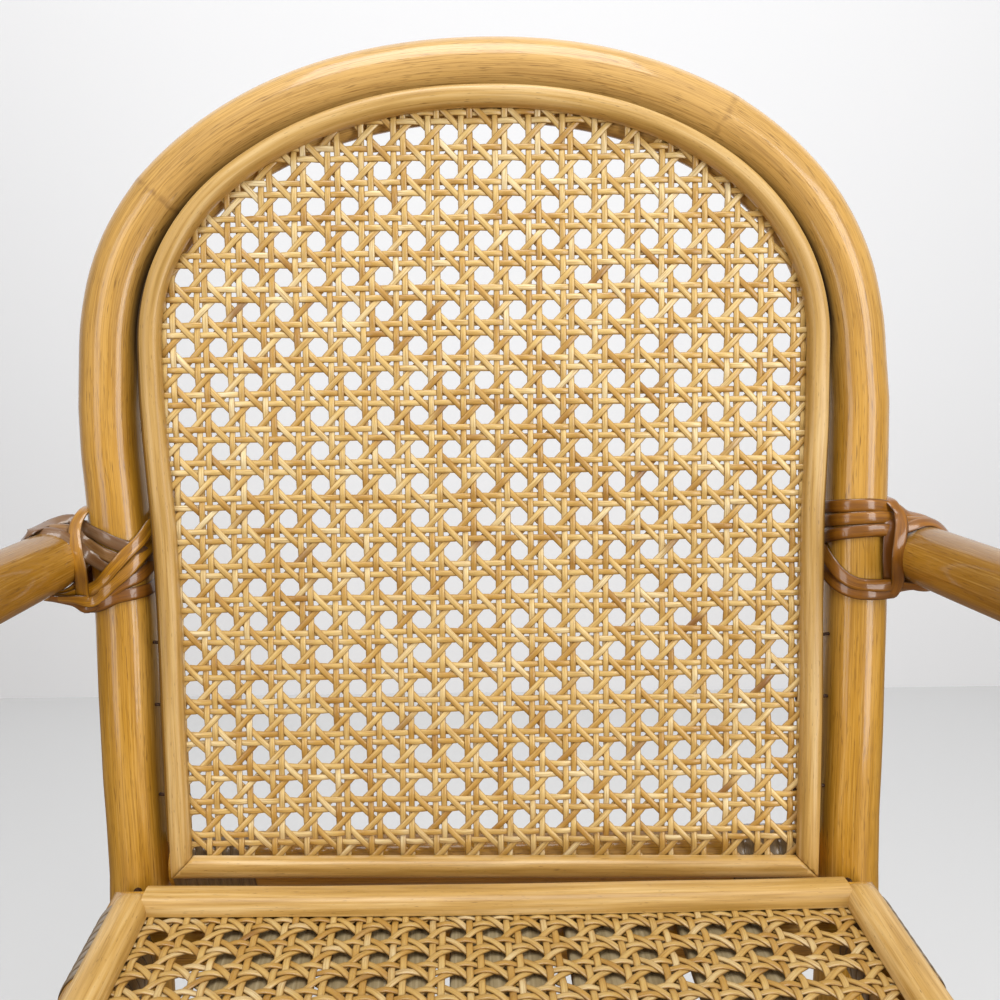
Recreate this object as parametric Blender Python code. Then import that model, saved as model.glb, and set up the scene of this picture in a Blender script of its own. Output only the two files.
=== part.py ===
"""Rattan armchair of a child's size: bent poles, a cane back and seat, and peel bindings.

Metres, +Z up. The sitter faces -Y. The origin is on the floor, under the middle of the chair.
"""
import math

import bmesh
import bpy
from mathutils import Vector

# Driving dimensions of the whole chair
SEAT_HEIGHT = 0.302
SEAT_DEPTH = 0.262
SEAT_RAIL_HALF_WIDTH = 0.1335
POST_OUTSET = 0.0105
HOOP_HALF_WIDTH = SEAT_RAIL_HALF_WIDTH + POST_OUTSET
HOOP_SPRING = 0.195
HOOP_RISE = 0.1054
HOOP_SETBACK = 0.0423
BACK_RECLINE = math.radians(9.0)
ARCH_POWER = 2.10
ARM_HEIGHT = 0.1121

# Clearance between pieces that touch, and how far a cutter runs past what it cuts
CLEARANCE = 0.0003
OVERRUN = 0.003

# Poles
POLE_RADIUS = 0.012
RAIL_RADIUS = 0.012
ARM_RADIUS = 0.0114
RING_RADIUS = 0.005
STRETCHER_RADIUS = 0.008
POLE_SIDES = 14
RING_SIDES = 10
CUTTER_SIDES = 20
ARCH_STEPS = 13

# Rear legs, below the seat
LEG_BEND_DROP = 0.030
LEG_BEND_RADIUS = 0.250
REAR_LEG_RAKE = math.radians(6.0)
LEG_BEND_STEPS = 4

# Arms, which pass the posts' outer sides and bend down into the front legs
ARM_REAR_REACH = 0.008
ARM_SPLAY = math.radians(1.2)
ARM_RISE = math.radians(4.3)
ARM_FRONT_LIFT = 0.015
ARM_FRONT_OUTSET = 0.0377
ARM_FRONT_HALF_WIDTH = SEAT_RAIL_HALF_WIDTH + ARM_FRONT_OUTSET
ARM_FRONT_TURN = math.radians(5.0)
ARM_REAR_HANDLE = 0.110
ARM_FRONT_HANDLE = 0.080
ARM_BEND_START = 0.052
ARM_BEND_DROP = 0.088
ARM_BEND_FRONT_HANDLE = 0.036
ARM_BEND_LEG_HANDLE = 0.046
FRONT_LEG_SETBACK = 0.006
ARM_STEPS = 11
ARM_BEND_STEPS = 11

# Back panel: ring, cross rail, cane and beads
RING_GAP = 0.0012
PANEL_TAPER = 0.0038
CROSS_RAIL_DROP = 0.0085
PANEL_BEAD_WIDTH = 0.0082
PANEL_BEAD_HEIGHT = 0.0050
PANEL_BEAD_INSET = 0.0024
PANEL_BEAD_LIFT = 0.0024
BOTTOM_BEAD_DROP = 0.0050
PANEL_CANE_LAP = 0.0030
BEAD_ARC_STEPS = 6

# Cane: each gap of the net stands for more than one gap of the real weave
CANE_THICKNESS = 0.0016
CANE_PITCH = 0.0126
CANE_BAR_SHARE = 0.34
BACK_CELL_WEAVES = 1.55
SEAT_CELL_WEAVES = 2.2

# Seat beads and slats
SEAT_BEAD_WIDTH = 0.0130
SEAT_BEAD_HEIGHT = 0.0060
SEAT_BEAD_INSET = 0.0035
SEAT_CANE_LAP = 0.0040
SIDE_BEAD_REAR_REACH = 0.0050
SIDE_BEAD_FRONT_REACH = 0.0060
SLAT_COUNT = 5
SLAT_WIDTH = 0.034
SLAT_PITCH = 0.040
SLAT_THICKNESS = 0.0045
SLAT_DROP = 0.0020

# Stretchers
STRETCHER_HEIGHT = 0.100
SIDE_STRETCHER_HEIGHT = 0.130

# Peel bindings: a flat strip, wound with a gap between its turns
PEEL_WIDTH = 0.00475
PEEL_THICKNESS = 0.0010
PEEL_GAP = 0.00055
TURN_STEPS = 16
ARM_BINDING_UPPER_TURNS = 1
ARM_BINDING_LOWER_TURNS = 0
ARM_BINDING_SLANT = 1.66
ARM_COLLAR_TURNS = 2
ARM_COLLAR_STANDOFF = 0.0135
CROSS_BINDING_TURNS = 3
CROSS_BINDING_REACH = 0.0050
SIDE_BINDING_TURNS = 3
LEG_BINDING_TURNS = 2

# Nails and screws
NAIL_RADIUS = 0.0007
NAIL_HEAD_RADIUS = 0.0015
NAIL_HEAD_HEIGHT = 0.0006
NAIL_DEPTH = 0.008
NAIL_SHARES = (0.18, 0.50, 0.72)
SCREW_RADIUS = 0.0016
SCREW_HEAD_RADIUS = 0.0034
SCREW_HEAD_HEIGHT = 0.0018
SCREW_SINK = 0.0026
SCREW_DEPTH = 0.014
SCREW_SIDES = 8

# Places worked out from the sizes above
RAIL_Z = SEAT_HEIGHT - CANE_THICKNESS - CLEARANCE - RAIL_RADIUS
FRONT_REACH = SEAT_DEPTH + RAIL_RADIUS
REAR_REACH = HOOP_SETBACK + (HOOP_SPRING + HOOP_RISE) * math.sin(BACK_RECLINE) + POLE_RADIUS
REAR_RAIL_Y = (FRONT_REACH - REAR_REACH) / 2
FRONT_RAIL_Y = REAR_RAIL_Y - SEAT_DEPTH
FRONT_LEG_Y = FRONT_RAIL_Y + FRONT_LEG_SETBACK
FRONT_LEG_X = SEAT_RAIL_HALF_WIDTH + RAIL_RADIUS + ARM_RADIUS + CLEARANCE
HOOP_Y = REAR_RAIL_Y + HOOP_SETBACK
ARM_OUTSET = POLE_RADIUS + ARM_RADIUS + CLEARANCE
ARM_ALONG = ARM_HEIGHT / math.cos(BACK_RECLINE)
ARM_FRONT_Z = SEAT_HEIGHT + ARM_HEIGHT + ARM_FRONT_LIFT
TURN_SLACK = 1 / math.cos(math.pi / TURN_STEPS)
PEEL_PITCH = PEEL_WIDTH + PEEL_GAP
CROSS_RAIL_RADIUS = (POLE_RADIUS - PEEL_THICKNESS - CLEARANCE) / TURN_SLACK
RING_FRONTING = POLE_RADIUS - RING_RADIUS
RING_INSET = math.sqrt((POLE_RADIUS + RING_RADIUS + RING_GAP) ** 2 - RING_FRONTING ** 2)
CANE_FRONTING = POLE_RADIUS + CLEARANCE
PANEL_BEAD_FRONTING = CANE_FRONTING + CANE_THICKNESS + CLEARANCE

# The back's own directions: up along it, and out of its front
BACK_UP = Vector((0, math.sin(BACK_RECLINE), math.cos(BACK_RECLINE)))
BACK_FRONT = Vector((0, -math.cos(BACK_RECLINE), math.sin(BACK_RECLINE)))
UP = Vector((0, 0, 1))
ACROSS = Vector((1, 0, 0))
BACKWARD = Vector((0, 1, 0))

SIDES = (("left", -1), ("right", 1))

# Colours: red, green and blue, linear
POLE_COLOUR = (0.56, 0.33, 0.065)
BEAD_COLOUR = (0.61, 0.40, 0.13)
CANE_COLOUR = (0.68, 0.45, 0.17)
PEEL_COLOUR = (0.36, 0.17, 0.05)
RAIL_PEEL_COLOUR = (0.25, 0.15, 0.09)
SLAT_COLOUR = (0.30, 0.20, 0.11)
STEEL_COLOUR = (0.30, 0.29, 0.27)


def clear_scene():
    for item in list(bpy.data.objects):
        bpy.data.objects.remove(item)


def back_place(across, along, fronting=0.0):
    """A place on the back: across it, along it from seat height, and in front of the hoop."""
    foot = Vector((across, HOOP_Y, SEAT_HEIGHT))
    return foot + BACK_UP * along + BACK_FRONT * fronting


def finish(obj, colour, roughness, metallic=0.0):
    """Gives an object its own material."""
    material = bpy.data.materials.new(obj.name + "_finish")
    material.use_nodes = True
    shader = material.node_tree.nodes["Principled BSDF"]
    shader.inputs["Base Color"].default_value = (*colour, 1.0)
    shader.inputs["Roughness"].default_value = roughness
    shader.inputs["Metallic"].default_value = metallic
    obj.data.materials.append(material)
    return obj


def mesh_object(name, mesh_data, smooth=True):
    """Turns a bmesh into an object with its faces pointing out."""
    bmesh.ops.recalc_face_normals(mesh_data, faces=mesh_data.faces)
    mesh = bpy.data.meshes.new(name)
    mesh_data.to_mesh(mesh)
    mesh_data.free()
    if smooth:
        mesh.shade_smooth()
        mesh.set_sharp_from_angle(angle=math.radians(40))
    obj = bpy.data.objects.new(name, mesh)
    bpy.context.scene.collection.objects.link(obj)
    return obj


def circle_section(radius, sides):
    return [(radius * math.cos(math.tau * i / sides), radius * math.sin(math.tau * i / sides))
            for i in range(sides)]


def half_round_section(width, height):
    arc = [math.pi * i / BEAD_ARC_STEPS for i in range(BEAD_ARC_STEPS + 1)]
    return [(width / 2 * math.cos(a), height * math.sin(a)) for a in arc]


def strip_section(width, thickness):
    return [(-width / 2, 0), (width / 2, 0), (width / 2, thickness), (-width / 2, thickness)]


def directions_along(path):
    """The direction of a path at each of its points."""
    last = len(path) - 1
    return [(path[min(i + 1, last)] - path[max(i - 1, 0)]).normalized() for i in range(last + 1)]


def carried_ups(path, first_up):
    """An up direction at each point, carried along the path without twisting."""
    ups = []
    up = first_up
    for direction in directions_along(path):
        up = (up - direction * up.dot(direction)).normalized()
        ups.append(up)
    return ups


def swept_rings(path, section, ups):
    """The corners of a section at each point of a path."""
    rings = []
    for place, direction, up in zip(path, directions_along(path), ups):
        up = (up - direction * up.dot(direction)).normalized()
        side = direction.cross(up)
        rings.append([place + side * a + up * b for a, b in section])
    return rings


def trim_ring(ring, direction, plane):
    """Slides the corners of a ring along a direction until they lie on a plane."""
    point, normal = plane
    return [corner + direction * ((point - corner).dot(normal) / direction.dot(normal))
            for corner in ring]


def sweep(name, path, section, ups, start_plane=None, end_plane=None):
    """A closed solid: a section carried along a path, its ends square or cut on a plane."""
    rings = swept_rings(path, section, ups)
    if start_plane:
        rings[0] = trim_ring(rings[0], (path[1] - path[0]).normalized(), start_plane)
    if end_plane:
        rings[-1] = trim_ring(rings[-1], (path[-1] - path[-2]).normalized(), end_plane)
    mesh_data = bmesh.new()
    corners = [[mesh_data.verts.new(place) for place in ring] for ring in rings]
    count = len(section)
    for first, second in zip(corners, corners[1:]):
        for i in range(count):
            following = (i + 1) % count
            mesh_data.faces.new((first[i], first[following], second[following], second[i]))
    mesh_data.faces.new(corners[0])
    mesh_data.faces.new(corners[-1])
    return mesh_object(name, mesh_data)


def pole(name, path, radius, sides=POLE_SIDES, first_up=UP, start_plane=None, end_plane=None):
    ups = carried_ups(path, first_up)
    return sweep(name, path, circle_section(radius, sides), ups, start_plane, end_plane)


def bezier(start, start_handle, end_handle, end, steps):
    """Places along one cubic curve, both ends included."""
    places = []
    for i in range(steps + 1):
        t = i / steps
        s = 1 - t
        places.append(start * s ** 3 + start_handle * (3 * s * s * t)
                      + end_handle * (3 * s * t * t) + end * t ** 3)
    return places


def cut(target, bores):
    """Takes round bores, each given by its two ends and radius, out of a solid."""
    for start, end, radius in bores:
        axis = end - start
        turn = UP.rotation_difference(axis).to_matrix().to_4x4()
        turn.translation = (start + end) / 2
        wide = radius / math.cos(math.pi / CUTTER_SIDES)
        mesh_data = bmesh.new()
        bmesh.ops.create_cone(mesh_data, cap_ends=True, segments=CUTTER_SIDES, radius1=wide,
                              radius2=wide, depth=axis.length, matrix=turn)
        cutter = mesh_object(target.name + "_cutter", mesh_data, smooth=False)
        cutter.hide_render = True
        cutter.display_type = "WIRE"
        modifier = target.modifiers.new("bore", "BOOLEAN")
        modifier.object = cutter
        modifier.operation = "DIFFERENCE"


def arch_outline(half_width, spring, apex, taper=0.0, foot=0.0):
    """The right half of an arched outline, from its apex down to its foot, across and along."""
    rise = apex - spring
    places = []
    for i in range(ARCH_STEPS + 1):
        angle = math.pi / 2 * (1 - i / ARCH_STEPS)
        across = half_width * max(math.cos(angle), 0.0) ** (2 / ARCH_POWER)
        places.append((across, spring + rise * math.sin(angle) ** (2 / ARCH_POWER)))
    places[0] = (0.0, apex)
    places.append((half_width - taper, foot))
    return places


def whole_arch(half):
    """Both halves of an arched outline, from the left foot over the apex to the right foot."""
    left = [(-across, along) for across, along in reversed(half)]
    return left + half[1:]


def ring_outline(foot):
    apex = HOOP_SPRING + HOOP_RISE - RING_INSET
    return arch_outline(HOOP_HALF_WIDTH - RING_INSET, HOOP_SPRING, apex, PANEL_TAPER, foot)


def panel_outline(offset, foot):
    """The line of the panel bead, set out by an offset."""
    half_width = HOOP_HALF_WIDTH - RING_INSET - PANEL_BEAD_INSET + offset
    apex = HOOP_SPRING + HOOP_RISE - RING_INSET + PANEL_BEAD_LIFT + offset
    return arch_outline(half_width, HOOP_SPRING, apex, PANEL_TAPER, foot)


def rear_leg_places(sign):
    """The centre line of one post below the seat, from its bend down to the floor."""
    x = sign * HOOP_HALF_WIDTH
    bend_top = back_place(x, -LEG_BEND_DROP)
    total = BACK_RECLINE + REAR_LEG_RAKE
    centre = bend_top - BACK_FRONT * LEG_BEND_RADIUS
    places = []
    for i in range(LEG_BEND_STEPS + 1):
        angle = BACK_RECLINE - total * i / LEG_BEND_STEPS
        outward = Vector((0, -math.cos(angle), math.sin(angle)))
        places.append(centre + outward * LEG_BEND_RADIUS)
    bend_foot = places[-1]
    run = bend_foot.z * math.tan(REAR_LEG_RAKE)
    places.append(Vector((x, bend_foot.y + run, 0)))
    return places


def rear_leg_centre(sign, height):
    """The centre of a rear leg where it stands straight, at a height above the floor."""
    top, foot = rear_leg_places(sign)[-2:]
    return foot.lerp(top, height / top.z)


def post_at_arm(sign):
    """The post's centre at the height where its arm passes it."""
    return back_place(sign * HOOP_HALF_WIDTH, ARM_ALONG)


def arm_start(sign):
    """Where an arm's centre line passes its post, on the post's outer side."""
    return post_at_arm(sign) + ACROSS * (sign * ARM_OUTSET)


def arm_direction(sign):
    """Forward along the arm: a little outwards, and rising."""
    level = Vector((sign * math.sin(ARM_SPLAY), -math.cos(ARM_SPLAY), 0))
    return level * math.cos(ARM_RISE) + UP * math.sin(ARM_RISE)


def arm_places(sign):
    """The centre line of an arm and front leg, from the post forward and down to the floor."""
    start = arm_start(sign) - arm_direction(sign) * ARM_REAR_REACH
    turn_in = Vector((-sign * math.sin(ARM_FRONT_TURN), -math.cos(ARM_FRONT_TURN), 0))
    knee = Vector((sign * ARM_FRONT_HALF_WIDTH, FRONT_LEG_Y + ARM_BEND_START, ARM_FRONT_Z))
    leg_top = Vector((sign * FRONT_LEG_X, FRONT_LEG_Y, ARM_FRONT_Z - ARM_BEND_DROP))
    level = bezier(start, start + arm_direction(sign) * ARM_REAR_HANDLE,
                   knee - turn_in * ARM_FRONT_HANDLE, knee, ARM_STEPS)
    bend = bezier(knee, knee + turn_in * ARM_BEND_FRONT_HANDLE,
                  leg_top + UP * ARM_BEND_LEG_HANDLE, leg_top, ARM_BEND_STEPS)
    foot = Vector((leg_top.x, leg_top.y, 0))
    return level + bend[1:] + [foot]


def nail_line(sign, share):
    """Start, direction and length of a nail from the ring through to the post."""
    along = ARM_HEIGHT * share
    across = HOOP_HALF_WIDTH - RING_INSET - PANEL_TAPER * (1 - along / HOOP_SPRING)
    middle = back_place(sign * across, along, RING_FRONTING)
    aim = (back_place(sign * HOOP_HALF_WIDTH, along) - middle)
    direction = aim.normalized()
    start = middle - direction * (RING_RADIUS + CLEARANCE)
    return start, direction, RING_RADIUS + CLEARANCE + aim.length - POLE_RADIUS + NAIL_DEPTH


def arm_screw_line(sign):
    """A screw through the arm into the post, from the outer side."""
    direction = Vector((-sign, 0, 0))
    start = arm_start(sign) - direction * (ARM_RADIUS - SCREW_SINK)
    return start, direction, 2 * ARM_RADIUS - SCREW_SINK + SCREW_DEPTH


def cross_screw_line(sign):
    direction = Vector((-sign, 0, 0))
    start = back_place(sign * HOOP_HALF_WIDTH, -CROSS_RAIL_DROP) - direction * (
        POLE_RADIUS - SCREW_SINK)
    return start, direction, 2 * POLE_RADIUS - SCREW_SINK + SCREW_DEPTH


def rail_screw_line(sign):
    """A screw through the post from behind, where the post and the side rail overlap."""
    x = sign * (SEAT_RAIL_HALF_WIDTH + HOOP_HALF_WIDTH) / 2
    centre = back_place(x, (RAIL_Z - SEAT_HEIGHT) / math.cos(BACK_RECLINE))
    offset = HOOP_HALF_WIDTH - abs(x) - SCREW_HEAD_RADIUS
    half_chord = math.sqrt(POLE_RADIUS ** 2 - offset ** 2) / math.cos(BACK_RECLINE)
    start = Vector((x, centre.y + half_chord + CLEARANCE, RAIL_Z))
    return start, -BACKWARD, 2 * half_chord + SCREW_DEPTH


def leg_screw_line(sign):
    direction = Vector((-sign, 0, 0))
    start = Vector((sign * (FRONT_LEG_X + ARM_RADIUS - SCREW_SINK), FRONT_LEG_Y, RAIL_Z))
    return start, direction, 2 * ARM_RADIUS - SCREW_SINK + SCREW_DEPTH


def bore(line, shank_radius):
    """The hole for a fastener: a little wider and longer than its shank."""
    start, direction, length = line
    return (start - direction * OVERRUN, start + direction * (length + CLEARANCE),
            shank_radius + CLEARANCE)


def recess(line):
    """The wider hole in which a screw's head lies below the surface."""
    start, direction, _ = line
    return (start - direction * (SCREW_HEAD_HEIGHT + OVERRUN), start + direction * CLEARANCE,
            SCREW_HEAD_RADIUS + CLEARANCE)


def build_hoop():
    outline = arch_outline(HOOP_HALF_WIDTH, HOOP_SPRING, HOOP_SPRING + HOOP_RISE)[:-1]
    upper = [back_place(across, along) for across, along in whole_arch(outline)]
    path = list(reversed(rear_leg_places(-1))) + upper + rear_leg_places(1)
    floor = (Vector((0, 0, 0)), UP)
    hoop = pole("back_hoop", path, POLE_RADIUS, first_up=ACROSS, start_plane=floor,
                end_plane=floor)
    bores = []
    for _, sign in SIDES:
        bores.append(recess(cross_screw_line(sign)))
        bores += [bore(nail_line(sign, share), NAIL_RADIUS) for share in NAIL_SHARES]
        bores += [bore(line(sign), SCREW_RADIUS)
                  for line in (arm_screw_line, cross_screw_line, rail_screw_line)]
    cut(hoop, bores)
    return finish(hoop, POLE_COLOUR, 0.35)


def build_cross_rail():
    """The pole across the foot of the back, its ends hollowed to fit the posts."""
    ends = [back_place(sign * HOOP_HALF_WIDTH, -CROSS_RAIL_DROP) for _, sign in SIDES]
    rail = pole("back_cross_rail", ends, CROSS_RAIL_RADIUS)
    bores = []
    for end, (_, sign) in zip(ends, SIDES):
        reach = BACK_UP * (CROSS_RAIL_RADIUS + OVERRUN)
        bores.append((end - reach, end + reach, POLE_RADIUS + CLEARANCE))
        bores.append(bore(cross_screw_line(sign), SCREW_RADIUS))
    cut(rail, bores)
    return finish(rail, POLE_COLOUR, 0.4)


def build_ring():
    """The thin pole bent round inside the hoop, behind the cane."""
    foot = CROSS_RAIL_RADIUS - CROSS_RAIL_DROP + CLEARANCE
    path = [back_place(across, along, RING_FRONTING)
            for across, along in whole_arch(ring_outline(foot))]
    ring = pole("panel_ring", path, RING_RADIUS, RING_SIDES, first_up=ACROSS)
    cut(ring, [bore(nail_line(sign, share), NAIL_RADIUS)
               for _, sign in SIDES for share in NAIL_SHARES])
    return finish(ring, POLE_COLOUR, 0.45)


def inside(place, outline):
    """Whether a place lies within a closed outline."""
    x, y = place
    within = False
    for (x1, y1), (x2, y2) in zip(outline, outline[1:] + outline[:1]):
        if (y1 > y) != (y2 > y) and x < x1 + (y - y1) * (x2 - x1) / (y2 - y1):
            within = not within
    return within


def net_gaps(outline, cell, gap, rim_outline):
    """Square gaps on a grid, each wholly inside the rim."""
    xs = [x for x, _ in outline]
    ys = [y for _, y in outline]
    columns = int((max(xs) - min(xs)) / cell)
    rows = int((max(ys) - min(ys)) / cell)
    middle_x = (max(xs) + min(xs)) / 2
    middle_y = (max(ys) + min(ys)) / 2
    gaps = []
    for column in range(columns):
        for row in range(rows):
            x = middle_x + (column - (columns - 1) / 2) * cell
            y = middle_y + (row - (rows - 1) / 2) * cell
            corners = [(x - gap / 2, y - gap / 2), (x + gap / 2, y - gap / 2),
                       (x + gap / 2, y + gap / 2), (x - gap / 2, y + gap / 2)]
            if all(inside(corner, rim_outline) for corner in corners):
                gaps.append(corners)
    return gaps


def net(name, outline, rim_outline, cell, place):
    """A flat net: an outline filled with square gaps, given thickness towards its front."""
    gaps = net_gaps(outline, cell, cell * (1 - CANE_BAR_SHARE), rim_outline)
    mesh_data = bmesh.new()
    edges = []
    for loop in [outline] + gaps:
        corners = [mesh_data.verts.new(place(x, y)) for x, y in loop]
        edges += [mesh_data.edges.new(pair) for pair in zip(corners, corners[1:] + corners[:1])]
    bmesh.ops.triangle_fill(mesh_data, use_beauty=True, edges=edges)
    bmesh.ops.recalc_face_normals(mesh_data, faces=mesh_data.faces)
    mesh_data.faces.ensure_lookup_table()
    front = (place(0, 0, 1) - place(0, 0)).normalized()
    if mesh_data.faces[0].normal.dot(front) < 0:
        bmesh.ops.reverse_faces(mesh_data, faces=mesh_data.faces)
    mesh = bpy.data.meshes.new(name)
    mesh_data.to_mesh(mesh)
    mesh_data.free()
    obj = bpy.data.objects.new(name, mesh)
    bpy.context.scene.collection.objects.link(obj)
    thicken = obj.modifiers.new("thickness", "SOLIDIFY")
    thicken.thickness = CANE_THICKNESS
    thicken.offset = 1
    print(name, "gaps", len(gaps))
    return finish(obj, CANE_COLOUR, 0.45)


def build_back_cane():
    foot = -BOTTOM_BEAD_DROP
    outline = whole_arch(panel_outline(PANEL_CANE_LAP, foot - PANEL_CANE_LAP))
    rim = whole_arch(panel_outline(-PANEL_BEAD_WIDTH / 2, foot + PANEL_BEAD_WIDTH / 2))

    def place(x, y, forward=0.0):
        return back_place(x, y, CANE_FRONTING + forward)

    return net("back_cane", outline, rim, BACK_CELL_WEAVES * CANE_PITCH, place)


def mitre(sign):
    """The plane of a bead corner at the foot of the panel, and its direction along the bead."""
    across = HOOP_HALF_WIDTH - RING_INSET - PANEL_BEAD_INSET - PANEL_TAPER
    corner = back_place(sign * across, -BOTTOM_BEAD_DROP)
    return corner, (ACROSS * sign + BACK_UP).normalized()


def build_panel_beads():
    """The half-round that covers the cane's edge: one bent length, and one across the foot."""
    section = half_round_section(PANEL_BEAD_WIDTH, PANEL_BEAD_HEIGHT)
    path = [back_place(across, along, PANEL_BEAD_FRONTING)
            for across, along in whole_arch(panel_outline(0.0, -BOTTOM_BEAD_DROP))]
    planes = []
    for _, sign in SIDES:
        corner, normal = mitre(sign)
        planes.append((corner + normal * (CLEARANCE / 2), normal))
    arch = sweep("panel_bead", path, section, [BACK_FRONT] * len(path), planes[0], planes[1])
    finish(arch, BEAD_COLOUR, 0.4)
    ends = []
    planes = []
    for _, sign in SIDES:
        corner, normal = mitre(sign)
        ends.append(corner + BACK_FRONT * PANEL_BEAD_FRONTING)
        planes.append((corner - normal * (CLEARANCE / 2), normal))
    bottom = sweep("panel_bottom_bead", ends, section, [BACK_FRONT] * 2, planes[0], planes[1])
    finish(bottom, BEAD_COLOUR, 0.4)


def build_arm(side, sign):
    path = arm_places(sign)
    floor = (Vector((0, 0, 0)), UP)
    arm = pole("arm_" + side, path, ARM_RADIUS, end_plane=floor)
    cut(arm, [recess(arm_screw_line(sign)), bore(arm_screw_line(sign), SCREW_RADIUS),
              recess(leg_screw_line(sign)), bore(leg_screw_line(sign), SCREW_RADIUS)])
    finish(arm, POLE_COLOUR, 0.35)


def side_rail_end():
    """How far back a side rail runs: to the front of the post."""
    centre = back_place(0, (RAIL_Z + RAIL_RADIUS - SEAT_HEIGHT) / math.cos(BACK_RECLINE))
    low = back_place(0, (RAIL_Z - RAIL_RADIUS - SEAT_HEIGHT) / math.cos(BACK_RECLINE))
    return min(centre.y, low.y) - POLE_RADIUS / math.cos(BACK_RECLINE) - CLEARANCE


def build_seat_rails():
    """Four poles: the side rails run through, the front and rear ones fit between them."""
    front_end = FRONT_RAIL_Y - RAIL_RADIUS
    for side, sign in SIDES:
        x = sign * SEAT_RAIL_HALF_WIDTH
        path = [Vector((x, front_end, RAIL_Z)), Vector((x, side_rail_end(), RAIL_Z))]
        rail = pole("seat_rail_" + side, path, RAIL_RADIUS)
        cut(rail, [bore(rail_screw_line(sign), SCREW_RADIUS),
                   bore(leg_screw_line(sign), SCREW_RADIUS)])
        finish(rail, POLE_COLOUR, 0.45)
    wrapped = RAIL_RADIUS * TURN_SLACK + PEEL_THICKNESS + 2 * CLEARANCE
    for side, y, cope in (("front", FRONT_RAIL_Y, RAIL_RADIUS + CLEARANCE),
                          ("rear", REAR_RAIL_Y, wrapped)):
        ends = [Vector((sign * SEAT_RAIL_HALF_WIDTH, y, RAIL_Z)) for _, sign in SIDES]
        rail = pole("seat_rail_" + side, ends, RAIL_RADIUS)
        reach = BACKWARD * (RAIL_RADIUS + OVERRUN)
        cut(rail, [(end - reach, end + reach, cope) for end in ends])
        finish(rail, POLE_COLOUR, 0.45)


def seat_bead_lines():
    """Half width, front and rear of the line that the seat beads follow."""
    return (SEAT_RAIL_HALF_WIDTH - SEAT_BEAD_INSET, FRONT_RAIL_Y + SEAT_BEAD_INSET,
            REAR_RAIL_Y - SEAT_BEAD_INSET)


def rectangle(half_width, front, rear):
    return [(-half_width, front), (half_width, front), (half_width, rear), (-half_width, rear)]


def build_seat_cane():
    half_width, front, rear = seat_bead_lines()
    outline = rectangle(half_width + SEAT_CANE_LAP, front - SEAT_CANE_LAP, rear + SEAT_CANE_LAP)
    half = SEAT_BEAD_WIDTH / 2
    rim = rectangle(half_width - half, front + half, rear - half)

    def place(x, y, forward=0.0):
        return Vector((x, y, SEAT_HEIGHT - CANE_THICKNESS + forward))

    net("seat_cane", outline, rim, SEAT_CELL_WEAVES * CANE_PITCH, place)


def build_seat_beads():
    """Half-rounds over the edges of the seat cane: the side ones run through."""
    section = half_round_section(SEAT_BEAD_WIDTH, SEAT_BEAD_HEIGHT)
    half_width, front, rear = seat_bead_lines()
    z = SEAT_HEIGHT + CLEARANCE
    for side, sign in SIDES:
        x = sign * half_width
        path = [Vector((x, front - SEAT_BEAD_WIDTH / 2 - SIDE_BEAD_FRONT_REACH, z)),
                Vector((x, rear + SEAT_BEAD_WIDTH / 2 + SIDE_BEAD_REAR_REACH, z))]
        finish(sweep("seat_bead_" + side, path, section, [UP] * 2), BEAD_COLOUR, 0.5)
    reach = half_width - SEAT_BEAD_WIDTH / 2 - CLEARANCE
    for side, y in (("front", front), ("rear", rear)):
        path = [Vector((-reach, y, z)), Vector((reach, y, z))]
        finish(sweep("seat_bead_" + side, path, section, [UP] * 2), BEAD_COLOUR, 0.5)


def build_slats():
    """Thin slats under the cane, their ends hollowed to fit the front and rear rails."""
    bottom = SEAT_HEIGHT - CANE_THICKNESS - SLAT_DROP - SLAT_THICKNESS
    half = SLAT_WIDTH / 2
    section = [(-half, 0), (half, 0), (half, SLAT_THICKNESS), (-half, SLAT_THICKNESS)]
    for number in range(SLAT_COUNT):
        x = (number - (SLAT_COUNT - 1) / 2) * SLAT_PITCH
        path = [Vector((x, FRONT_RAIL_Y, bottom)), Vector((x, REAR_RAIL_Y, bottom))]
        slat = sweep("seat_slat_" + str(number + 1), path, section, [UP] * 2)
        reach = ACROSS * (half + OVERRUN)
        bores = []
        for y in (FRONT_RAIL_Y, REAR_RAIL_Y):
            middle = Vector((x, y, RAIL_Z))
            bores.append((middle - reach, middle + reach, RAIL_RADIUS + CLEARANCE))
        cut(slat, bores)
        finish(slat, SLAT_COLOUR, 0.6)


def stretcher(name, ends):
    """A thin pole between two legs, its ends hollowed to fit them.

    Each end is a leg's centre, its direction and its radius.
    """
    obj = pole(name, [ends[0][0], ends[1][0]], STRETCHER_RADIUS, RING_SIDES)
    bores = []
    for centre, axis, radius in ends:
        reach = axis * (STRETCHER_RADIUS + 2 * OVERRUN)
        bores.append((centre - reach, centre + reach, radius + CLEARANCE))
    cut(obj, bores)
    finish(obj, POLE_COLOUR, 0.45)


def front_leg_end(sign, height):
    return Vector((sign * FRONT_LEG_X, FRONT_LEG_Y, height)), UP, ARM_RADIUS


def rear_leg_end(sign, height):
    top, foot = rear_leg_places(sign)[-2:]
    return rear_leg_centre(sign, height), (top - foot).normalized(), POLE_RADIUS


def build_stretchers():
    stretcher("stretcher_rear", [rear_leg_end(sign, STRETCHER_HEIGHT) for _, sign in SIDES])
    stretcher("stretcher_front", [front_leg_end(sign, STRETCHER_HEIGHT) for _, sign in SIDES])
    for side, sign in SIDES:
        stretcher("stretcher_" + side, [front_leg_end(sign, SIDE_STRETCHER_HEIGHT),
                                        rear_leg_end(sign, SIDE_STRETCHER_HEIGHT)])


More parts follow.
